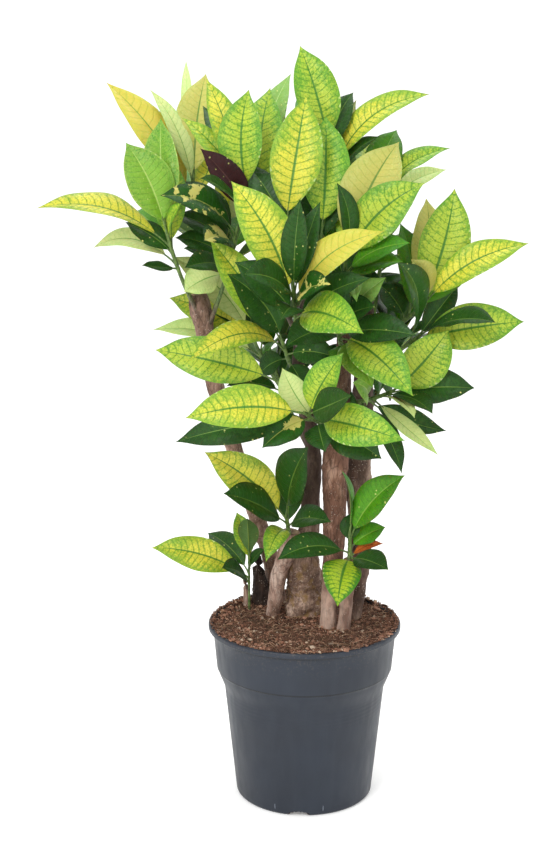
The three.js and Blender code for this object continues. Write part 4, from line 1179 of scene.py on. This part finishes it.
def add_blade(shape, rib, face, length, width, slot, under, draw):
    """A folded, quilted and gently waved blade, as two skins."""
    foot = np.linspace(0, 1, ROWS)[:, None]
    out = np.abs(COLUMNS)
    share = foot + VEIN_LEAN * (0.45 * out + 0.55 * out**2) * 4 * foot * (1 - foot)
    s = (PETIOLE_SHARE + (1 - PETIOLE_SHARE) * share)[..., None]
    start, bend, end = (np.array(p) for p in (rib.start, rib.bend, rib.end))
    centre = (1 - s) ** 2 * start + 2 * s * (1 - s) * bend + s**2 * end
    along = unit((1 - s) * (bend - start) + s * (end - bend))
    side = unit(np.cross(along, np.array(face)))
    up = np.cross(side, along)
    twist = draw.uniform(-0.1, 0.1) * s
    side, up = side + up * twist, up - side * twist

    half = np.maximum(half_width(share) * width, PETIOLE_RADIUS * (1 - smooth(0, 0.05, share)))
    half = half * (1 + draw.uniform(-0.05, 0.05) * np.sign(COLUMNS))
    lift = blade_lift(draw, share, half)
    sway = draw.uniform(-0.02, 0.02) * length * np.sin(pi * share)
    top = centre + side * (half * COLUMNS + sway)[..., None] + up * lift[..., None]
    ridge = np.where(COLUMNS == 0, mix(1.3, 0.3, share), 0)
    depth = np.where(out < 1, LEAF_THICKNESS * (1 - 0.55 * out) + ridge, 0) * smooth(1.0, 0.96, foot)
    bottom = top - up * depth[..., None]

    uv = np.stack(np.broadcast_arrays(foot, 0.5 + 0.5 * COLUMNS), -1).reshape(-1, 2)
    slots = [slot] * len(UPPER_FACES) + [under] * len(LOWER_FACES)
    faces = UPPER_FACES + LOWER_FACES
    shape.add(np.concatenate([top, bottom]), faces, slots, np.concatenate([uv, uv]), draw.random())


def add_petiole(shape, rib):
    shares = np.linspace(0, PETIOLE_SHARE + 0.03, len(PETIOLE_TAPER))
    centres = [rib.at(t) - Vector((0, 0, 0.2)) for t in shares]
    add_tube(shape, centres, PETIOLE_RADIUS * np.array(PETIOLE_TAPER), 8, STEM_SLOT, 0.75)


def named_leaves(head, rows):
    """Tip, tone, width, bow and turn of the leaves in the table."""
    leaves = []
    for row in rows:
        tone, width, x, y, z, *rest = row if isinstance(row[0], str) else ("dark", *row)
        bow, turn = rest + [LEAF_BOW, LEAF_TURN][len(rest) :]
        leaves.append((Vector(head) + Vector((x, y, z)), tone, width, bow, turn))
    return leaves


def fill_leaves(head, seed, count, middle, spread, length):
    """The leaves placed by rule: a golden-angle spiral, the oldest ones lowest."""
    numbers = park_miller(seed)
    leaves = []
    for k in range(count):
        age = (k + 0.5) / count
        heading = middle + spread * (k * GOLDEN_ANGLE / tau % 1 - 0.5)
        climb = mix(1.15, -0.3, age) + 0.2 * (next(numbers) - 0.5)
        reach = length * mix(0.85, 1.1, next(numbers))
        offset = Vector((*polar(reach * cos(climb), heading), reach * sin(climb)))
        tones = YOUNG_TONES if age < 0.35 and head[2] > YOUNG_HEIGHT else OLD_TONES
        tone = tones[int(next(numbers) * len(tones))]
        width = reach * mix(0.34, 0.42, next(numbers))
        leaves.append((Vector(head) + offset, tone, width, mix(0.06, 0.18, age), 0))
    return leaves


def leaf_ranks(leaves, curve):
    """The place of each leaf down the stem: those that point most along it stand highest."""
    rise = [(leaf[0] - curve.end).normalized().dot(curve.tangent(1)) for leaf in leaves]
    order = sorted(range(len(leaves)), key=lambda k: -rise[k])
    return [order.index(k) for k in range(len(leaves))]


def bends():
    """The tip moves that the solids' leaves may have been bent clear by, in order."""
    around = [(0, 0), (10, 0), (-10, 0), (0, 10), (0, -10), (14, 14), (-14, 14), (24, -10), (-24, -10)]
    return [Vector((x, y, z)) for x, z in around for y in (0, 12, -12, 24, -24, 36, -36, 50, -50, 65)]


def settled_tip(tree, tip):
    """Where the solids' leaf tip ended up, or None if the leaf found no room."""
    for bend in bends():
        if tree.find(tip + bend)[2] < TIP_MATCH:
            return tip + bend
    return None


def vertex_tree(node):
    """The vertices of a solid, in millimetres, to look places up in."""
    vertices = node.data.vertices
    tree = kdtree.KDTree(len(vertices))
    for vertex in vertices:
        tree.insert(vertex.co / MM, vertex.index)
    tree.balance()
    return tree


def make_shoot(name, index, materials):
    """A stem with its blades and stalks; the few leaves without room are left out."""
    cane, start, head, fill, rows = SHOOTS[name]
    curve = stem_curve(cane, start, head)
    leaves = named_leaves(head, rows)
    if fill:
        leaves += fill_leaves(head, 1000 + index, *fill)
    tree = vertex_tree(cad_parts[name])
    draw = random.Random(500 + index)
    shape = Shape()
    scars = []
    for rank, (tip, tone, width, bow, turn) in zip(leaf_ranks(leaves, curve), leaves):
        tip = settled_tip(tree, tip)
        if tip is None:
            continue
        scars.append(scar_at(curve, rank))
        rib, face, length = leaf_spine(curve, tip, scars[-1], bow, turn)
        slot = list(LEAF_LOOKS).index(tone)
        add_blade(shape, rib, face, length, width, slot, UNDER_SLOTS[tone in BRIGHT_TONES], draw)
        add_petiole(shape, rib)
    add_stem(shape, cane, curve, scars)
    return shape.build(name + "_fine", materials, 70)


# ---- Stage -------------------------------------------------------------------

FLOOR_FRONT = -6.0
FLOOR_BACK = 3.0
FLOOR_HALF_WIDTH = 7.0
WALL_ROUND = 2.0
WALL_TOP = 8.0
LAMPS = {  # place, size and power
    "key": ((-1.25, -2.4, 2.6), 1.3, 53),
    "fill": ((2.0, -1.9, 1.6), 2.0, 12),
    "low": ((-0.8, -2.4, 0.5), 1.6, 13),
    "top": ((0.1, 0.6, 2.6), 1.6, 26),
}
LAMP_AIM = Vector((0, 0, 0.6))
SKY_STRENGTH = 0.88
CAMERA_PLACE = (0, -1.995, 0.952)
CAMERA_LENS = 63.53
CAMERA_DIP = 12  # degrees below level
CAMERA_SWING = 1.12  # degrees to the left


def make_floor():
    """A pale floor that sweeps up into a wall behind."""
    section = [(FLOOR_FRONT, 0.0), (FLOOR_BACK, 0.0)]
    for k in range(1, 13):
        angle = k / 12 * pi / 2
        section.append((FLOOR_BACK + WALL_ROUND * sin(angle), WALL_ROUND * (1 - cos(angle))))
    section.append((FLOOR_BACK + WALL_ROUND, WALL_TOP))
    points = [(x, y, z) for y, z in section for x in (-FLOOR_HALF_WIDTH, FLOOR_HALF_WIDTH)]
    faces = [(k, k + 1, k + 3, k + 2) for k in range(0, len(points) - 2, 2)]
    mesh = bpy.data.meshes.new("floor")
    mesh.from_pydata(points, [], faces)
    mesh.materials.append(floor_material())
    mesh.shade_smooth()
    floor = link("floor", mesh)


def make_light():
    """Soft lamps and a pale sky."""
    for name, (place, size, power) in LAMPS.items():
        light = bpy.data.lights.new(name, "AREA")
        light.size = size
        light.energy = power
        lamp = link(name, light)
        lamp.location = place
        lamp.rotation_euler = (LAMP_AIM - Vector(place)).to_track_quat("-Z", "Y").to_euler()
    world = bpy.data.worlds.new("studio")
    bpy.context.scene.world = world
    world.use_nodes = True
    sky = world.node_tree.nodes["Background"].inputs
    sky["Color"].default_value = (1, 1, 1, 1)
    sky["Strength"].default_value = SKY_STRENGTH


def make_camera():
    lens = bpy.data.cameras.new("camera")
    lens.sensor_width = 36
    lens.lens = CAMERA_LENS
    camera = link("camera", lens)
    camera.location = CAMERA_PLACE
    camera.rotation_euler = (radians(90 - CAMERA_DIP), 0, radians(CAMERA_SWING))
    bpy.context.scene.camera = camera
    bpy.context.scene.view_settings.view_transform = "Standard"


# ---- The whole plant ---------------------------------------------------------


def place(piece, node, slot):
    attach(piece, "root")
    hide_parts(node)


def make_canes():
    # shade sets the height from which each bark is darkened by painted shade under the leafy crown; the
    # burl's 0.85 is its strength.
    plain = bark_material("bark", "#745848", "#a08070", "#c9b3a4", shade=0.62)
    ruddy = bark_material("bark_ruddy", "#674536", "#8a624e", "#ba9580", dusty=0.5)
    deep = bark_material("bark_deep", "#4a372c", "#70574a", "#9c8675")
    burl = bark_material("bark_burl", "#674e40", "#967865", "#c4aa97", 0.3, 0.85, burl=True)
    old = bark_material("bark_old", "#241a15", "#3b2b22", "#5d4738", dusty=0.0)
    kinds = {
        "cane_middle": burl,
        "cane_right_front": ruddy,
        "cane_right_back": deep,
        "cane_short_right": ruddy,
        "stump_dark": old,
    }
    for name in CANES:
        place(make_cane(name, kinds.get(name, plain)), name, "bark")


def make_shoots():
    looks = LEAF_LOOKS.items()
    materials = [leaf_material("leaf_" + tone, look, tone in BRIGHT_TONES) for tone, look in looks]
    materials.append(stem_material())
    materials += [leaf_material("underside_" + kind, look) for kind, look in UNDER_LOOKS.items()]
    for index, name in enumerate(SHOOTS):
        place(make_shoot(name, index, materials), name, "leaf")


place(make_pot(pot_material()), "pot", "pot_plastic")
place(make_soil(), "soil", "soil")
make_canes()
make_shoots()
make_floor()
make_light()
make_camera()
